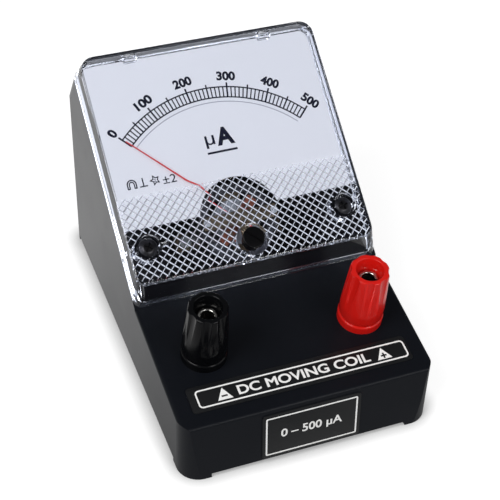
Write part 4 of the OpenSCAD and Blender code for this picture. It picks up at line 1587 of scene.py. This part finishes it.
@dataclass
class LegendPlate:
    """Thin dark plate with a white border and white lettering."""

    name: str
    node: str
    low: Point
    high: Point
    border_low: Point
    border_high: Point
    border_r: float
    words: Lettering
    line: float = 0.5
    thick: float = 0.4
    corner: float = 1.2
    edge: float = 0.12

    def plate(self) -> Piece:
        """Models the plate with soft edges.

        Returns:
            The bare plate.
        """
        piece = Bench.panel(self.name, self.low, self.high, self.corner)
        Bench.finish_with(piece, "SOLIDIFY", thickness=self.thick * MM, offset=1.0)
        Bench.outward(piece)
        middle = self.thick / 2 * MM
        Bench.soften(piece, lambda edge: all(v.co.z > middle for v in edge.verts), self.edge, segments=2)
        Bench.smooth(piece, degrees=40)
        return piece

    def signs(self) -> tuple[list[Piece], list[Piece]]:
        """Draws any white signs, and the dark marks that stand on them."""
        return [], []

    def build(self, place: Matrix) -> list[Piece]:
        """Models the plate with its print.

        Args:
            place: Frame of the face that carries the plate.

        Returns:
            The plate, its white print and any dark marks.
        """
        pieces = [self.plate()]
        words = self.words.draw("words")
        white, dark = self.signs()
        border = Bench.panel("border", self.border_low, self.border_high, self.border_r)
        Bench.keep_border(border, self.line)
        for name, marks in (("_print", [words, *white, border]), ("_signs", dark)):
            for mark in marks:
                Bench.ink(mark)
            if marks:
                pieces.append(Bench.join(self.name + name, marks))
        for piece, lift in zip(pieces, (0, self.thick, self.thick + Bench.INK)):
            Bench.place(piece, place @ moved(0, 0, lift))
        return pieces

    def dress(self, pieces: Sequence[Piece]) -> None:
        """Gives the plate and its print their finishes and their place in the model.

        Args:
            pieces: The plate, its white print and any dark marks.
        """
        finishes = (Palette.PLATE, Palette.WHITE, Palette.PLATE)
        slots = (Slot.LABEL, Slot.DIAL, Slot.LABEL)
        nodes = ((self.node,), (), ())
        for piece, finish, slot, stands_for in zip(pieces, finishes, slots, nodes):
            finish.dress(piece)
            settle(piece, Body.STAND, slot, *stands_for)


@dataclass
class DeckPlate(LegendPlate):
    """Plate on the deck that says what the meter is and which post is which."""

    name: str = "deck_plate"
    node: str = "deck_label"
    low: Point = (-35.6, 4.8)
    high: Point = (35.6, 14.0)
    border_low: Point = (-33.3, 6.0)
    border_high: Point = (34.75, 12.4)
    border_r: float = 1.3
    words: Lettering = Lettering("DC MOVING COIL", 3.4, 0.03, 43.0, (1.0, 9.25))
    minus_x: float = -24.85
    plus_x: float = 26.95
    sign_s: float = 9.2
    triangle: tuple[Point, Point] = ((-2.4, -2.0), (2.4, 2.2))
    dash: tuple[Point, Point] = ((-0.95, -1.0), (0.95, -0.45))
    stem_low: tuple[Point, Point] = ((-0.28, -1.7), (0.28, -1.0))
    stem_high: tuple[Point, Point] = ((-0.28, -0.45), (0.28, 0.25))

    def signs(self) -> tuple[list[Piece], list[Piece]]:
        """Draws a triangle at each end, with minus and plus on them.

        Returns:
            The white triangles and the dark marks.
        """
        left, right = moved(self.minus_x, self.sign_s), moved(self.plus_x, self.sign_s)
        triangle = Bench.sheet("triangle", *self.triangle)
        Bench.edit(triangle)
        Bench.choose(triangle, Kind.VERT, lambda v: v.co.y > 0)
        bpy.ops.mesh.merge(type="CENTER")
        Bench.leave()
        dash = Bench.sheet("dash", *self.dash)
        twins = [Bench.copy(piece, piece.name, left) for piece in (triangle, dash)]
        stems = [Bench.sheet("stem", *corners) for corners in (self.stem_low, self.stem_high)]
        for piece in (triangle, dash, *stems):
            Bench.place(piece, right)
        return [twins[0], triangle], [twins[1], dash, *stems]


@dataclass
class FrontPlate(LegendPlate):
    """Plate on the front that gives the measuring range."""

    name: str = "front_plate"
    node: str = "front_label"
    low: Point = (-16, 2.0)
    high: Point = (16, 19.6)
    border_low: Point = (-14.9, 3.2)
    border_high: Point = (14.9, 18.4)
    border_r: float = 0.5
    words: Lettering = Lettering("0 – 500 µA", 4.0, 0.024, 20.0, (0, 10.8))


@dataclass(frozen=True)
class Post:
    """What differs between the two binding posts."""

    colour: str
    side: int
    body: Body
    slot: Slot
    finish: Finish


@dataclass
class BindingPosts:
    """Two binding posts, each a fluted cap over a split stud."""

    posts: tuple[Post, Post] = (Post("red", 1, Body.RED_KNOB, Slot.RED, Palette.RED),
                                Post("black", -1, Body.BLACK_KNOB, Slot.BLACK, Palette.BLACK))
    x: float = 25.8
    s: float = 25.0
    # Cap
    cap_foot: float = 3.35
    cap_h: float = 23.0
    wide: float = 7.0
    narrow: float = 6.1
    skirt: float = 7.5
    mouth: float = 4.35
    neck: float = 3.45
    neck_n: tuple[float, float] = (14.15, 19.4)
    core: float = 4.25
    core_foot: float = 4.95
    core_step: float = 4.3
    flutes: int = 8
    flute_r: float = 3.4
    flute_in: float = 0.6
    flute_foot: float = 8.5
    cap_rounding: tuple[float, ...] = (0, 0.7, 3, 0.7, 0.5, 0, 0, 0, 0, 0)
    cap_edge: float = 0.14
    cap_edge_angle: float = 22
    # Stud
    stud_r: float = 3.1
    stud_h: float = 19.0
    stud_foot: float = -12.0
    flange: float = 4.6
    flange_n: tuple[float, float] = (3.0, 4.1)
    socket: float = 2.0
    socket_l: float = 13.5
    slit: float = 0.9
    slit_l: float = 7.0
    slit_turn: float = -38
    stud_rounding: tuple[float, ...] = (0, 0.4, 0, 0, 0, 0, 0.35, 0.35, 0, 0)

    def cap(self) -> Piece:
        """Models the cap and cuts its flutes.

        Returns:
            The cap, standing on the origin.
        """
        low, high = self.neck_n
        corners = [(self.core_foot, self.cap_foot), (self.wide, self.cap_foot), (self.wide, self.skirt),
                   (self.narrow, self.cap_h), (self.mouth, self.cap_h), (self.neck, high), (self.neck, low),
                   (self.core, low), (self.core, self.core_step), (self.core_foot, self.core_step)]
        piece = Bench.lathe("post_cap", fillet(corners, self.cap_rounding), sides=128)
        top = self.narrow + self.flute_r - self.flute_in
        taper = (self.wide - self.narrow) * (self.flute_foot - self.skirt) / (self.cap_h - self.skirt)
        foot = self.wide - taper + self.flute_r
        length = self.cap_h - self.flute_foot
        lean = math.atan2(foot - top, length)
        cutter = Bench.rod("flute", self.flute_r, -self.flute_r, length + 8, sides=56)
        Bench.place(cutter, moved(top, 0, self.cap_h) @ Matrix.Rotation(math.pi - lean, 4, "Y"))
        turns = [(index + 0.5) * 360 / self.flutes for index in range(self.flutes)]
        for tool in Bench.ring(cutter, turns):
            Bench.combine(piece, tool, Fit.CUT)
        Bench.finish_with(piece, "BEVEL", width=self.cap_edge * MM, segments=2, limit_method="ANGLE",
                          angle_limit=math.radians(self.cap_edge_angle), harden_normals=False)
        Bench.smooth(piece, degrees=35)
        return piece

    def stud(self) -> Piece:
        """Models the stud with its socket and a slit across it.

        Returns:
            The stud, standing on the origin.
        """
        r, h = self.stud_r, self.stud_h
        low, high = self.flange_n
        bottom = h - self.socket_l
        corners = [(0, self.stud_foot), (r, self.stud_foot), (r, low), (self.flange, low),
                   (self.flange, high), (r, high), (r, h), (self.socket, h), (self.socket, bottom),
                   (0, bottom)]
        piece = Bench.lathe("post_stud", fillet(corners, self.stud_rounding), sides=72)
        slit = Bench.box("slit", (0, -self.slit / 2, h - self.slit_l), (2 * r, self.slit / 2, h + 2))
        Bench.place(slit, spun(self.slit_turn))
        Bench.combine(piece, slit, Fit.CUT)
        Bench.smooth(piece)
        return piece

    def build(self, stance: Stance) -> list[tuple[Piece, Piece]]:
        """Models one cap and one stud, and copies them to both places on the deck.

        Args:
            stance: Slopes of the case.

        Returns:
            The cap and the stud of each post.
        """
        cap, stud = self.cap(), self.stud()
        made = []
        for post in self.posts:
            place = stance.deck() @ moved(post.side * self.x, self.s)
            made.append((Bench.copy(cap, post.colour + "_post_cap", place),
                         Bench.copy(stud, post.colour + "_post_stud", place)))
        Bench.drop(cap)
        Bench.drop(stud)
        return made

    def dress(self, pairs: Sequence[tuple[Piece, Piece]]) -> None:
        """Gives the caps their mouldings, the studs their plating and both their place in the model.

        Args:
            pairs: The cap and the stud of each post.
        """
        for post, (cap, stud) in zip(self.posts, pairs):
            post.finish.dress(cap)
            settle(cap, post.body, post.slot, post.colour + "_cap")
            Palette.NICKEL.dress(stud)
            settle(stud, Body.STAND, Slot.NICKEL, post.colour + "_stud")


@dataclass
class CarriedSolids:
    """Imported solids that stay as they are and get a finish."""

    nodes: dict[str, Piece]

    def dress(self) -> None:
        """Gives each shown solid the finish of its material."""
        finishes = {
            Palette.CASE: ("case_shell",), Palette.BASE: ("base_plate",), Palette.TRAY: ("movement_tray",),
            Palette.STEEL: ("base_screws", "frame_screws", "bridge_screws", "pivot_shafts"),
            Palette.DIAL: ("dial_plate",), Palette.YOKE: ("yoke_ring",), Palette.MAGNET: ("core_magnet",),
            Palette.BRASS: ("core_frame", "top_bridge", "jewel_screws", "zero_lever", "balance_weights",
                            "red_insert", "black_insert"),
            Palette.BRONZE: ("upper_spring", "lower_spring"), Palette.ALUMINIUM: ("coil_former",),
            Palette.COPPER: ("coil_winding",), Palette.POINTER: ("pointer",), Palette.RED: ("red_collar",),
            Palette.BLACK: ("black_collar",), Palette.FIBRE: ("under_washers",), Palette.LEAD: ("leads",),
            Palette.NICKEL: ("solder_tags", "stud_nuts", "lead_terminals")}
        for finish, names in finishes.items():
            for name in names:
                finish.dress(self.nodes[name])
                LOG.info("solid %s: %s", name, finish.name)


@dataclass(frozen=True)
class Lamp:
    """Soft rectangular lamp that faces the meter, in metres and watts."""

    name: str
    at: Point
    size: Point
    power: float
    aim: Point = (0, 0, 0.035)

    def hang(self) -> None:
        """Adds the lamp to the scene."""
        bpy.ops.object.light_add(type="AREA", location=self.at)
        lamp = bpy.context.object
        lamp.name = self.name
        lamp.rotation_euler = (Vector(self.aim) - Vector(self.at)).to_track_quat("-Z", "Y").to_euler()
        lamp.data.shape = "RECTANGLE"
        lamp.data.size, lamp.data.size_y = self.size
        lamp.data.energy = self.power


@dataclass
class Studio:
    """Camera at the photograph's angle, pale floor and soft light."""

    at: Point = (-120.563, -306.753, 317.108)
    azimuth: float = -21.83
    elevation: float = 40.998
    roll: float = 2.207
    lens: float = 96.827
    sensor: float = 36.0
    nearest: float = 0.01
    floor_size: float = 12.0
    # Levels of the room's light, its dim spot overhead and its tint through the cover
    room: float = 0.32
    through: float = 0.95
    mirrored: float = 0.13
    overhead: Point = (0.29, -0.37, 0.88)
    overhead_rim: tuple[float, float] = (0.93, 0.97)
    overhead_share: float = 0.05
    cool: tuple[float, float, float, float] = (0.86, 0.9, 1.0, 1.0)
    lamps: tuple[Lamp, ...] = (Lamp("key", (-0.62, -0.30, 0.72), (0.5, 0.5), 5.8),
                               Lamp("fill", (0.75, -0.55, 0.45), (0.6, 0.6), 1.6),
                               Lamp("front", (0.26, -0.78, 0.47), (0.28, 0.45), 2.2))

    def camera(self) -> None:
        """Sets the camera for a square frame."""
        az, el, roll = (math.radians(a) for a in (self.azimuth, self.elevation, self.roll))
        back = Vector((math.sin(az) * math.cos(el), -math.cos(az) * math.cos(el), math.sin(el)))
        right = (-back).cross(Vector((0, 0, 1))).normalized()
        up = right.cross(-back)
        x = math.cos(roll) * right + math.sin(roll) * up
        y = math.cos(roll) * up - math.sin(roll) * right
        turn = Matrix((x, y, back)).transposed().to_4x4()
        bpy.ops.object.camera_add()
        camera = bpy.context.object
        camera.name = "photo_camera"
        camera.matrix_world = Matrix.Translation(Vector(self.at) * MM) @ turn
        camera.data.lens = self.lens
        camera.data.sensor_width = self.sensor
        camera.data.clip_start = self.nearest
        bpy.context.scene.camera = camera

    def floor(self) -> None:
        """Adds the pale floor."""
        Bench.take()
        bpy.ops.mesh.primitive_plane_add(size=self.floor_size)
        floor = Bench.named("floor")
        Palette.FLOOR.dress(floor)

    def sky(self) -> None:
        """Sets the even light of the room, dimmer overhead where the cover mirrors it to the camera."""
        world = bpy.data.worlds.new("room")
        world.use_nodes = True
        bpy.context.scene.world = world
        graph = Graph(world.node_tree)
        path = graph.add("ShaderNodeLightPath").outputs
        view = graph.add("ShaderNodeTexCoord").outputs["Object"]
        way = graph.add("ShaderNodeVectorMath", {0: view, 1: self.overhead}, operation="DOT_PRODUCT")
        spot = graph.span(way.outputs["Value"], *self.overhead_rim, 1, self.overhead_share)
        bright = graph.blend(path["Is Transmission Ray"], self.mirrored, self.through)
        spotted = graph.math("MULTIPLY", bright, spot)
        clear = graph.blend(path["Is Glossy Ray"], self.room, spotted)
        level = graph.math("MAXIMUM", clear, path["Is Camera Ray"])
        tint = graph.blend(path["Is Transmission Ray"], (1, 1, 1, 1), self.cool, "RGBA")
        sky = world.node_tree.nodes["Background"]
        world.node_tree.links.new(tint, sky.inputs["Color"])
        world.node_tree.links.new(level, sky.inputs["Strength"])

    def build(self) -> None:
        """Sets up camera, lamps, floor, sky and view."""
        self.camera()
        for lamp in self.lamps:
            lamp.hang()
        self.floor()
        self.sky()
        bpy.context.scene.view_settings.view_transform = "Standard"


def main() -> None:
    """Builds and dresses every sub-assembly in order."""
    logging.basicConfig(level=logging.INFO, format="%(name)s: %(message)s")
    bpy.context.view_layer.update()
    stance = Stance()
    Studio().build()
    cover = ClearCover()
    cover.dress(cover.build(stance))
    screws = CoverScrews()
    screws.dress(screws.build(stance))
    zero = ZeroScrew()
    zero.dress(zero.build(stance))
    scale = DialPrint()
    scale.dress(*scale.build(stance))
    deck = DeckPlate()
    deck.dress(deck.build(stance.deck()))
    front = FrontPlate()
    front.dress(front.build(stance.front()))
    posts = BindingPosts()
    posts.dress(posts.build(stance))
    CarriedSolids(frame["nodes"]).dress()


if __name__ == "__main__":
    main()
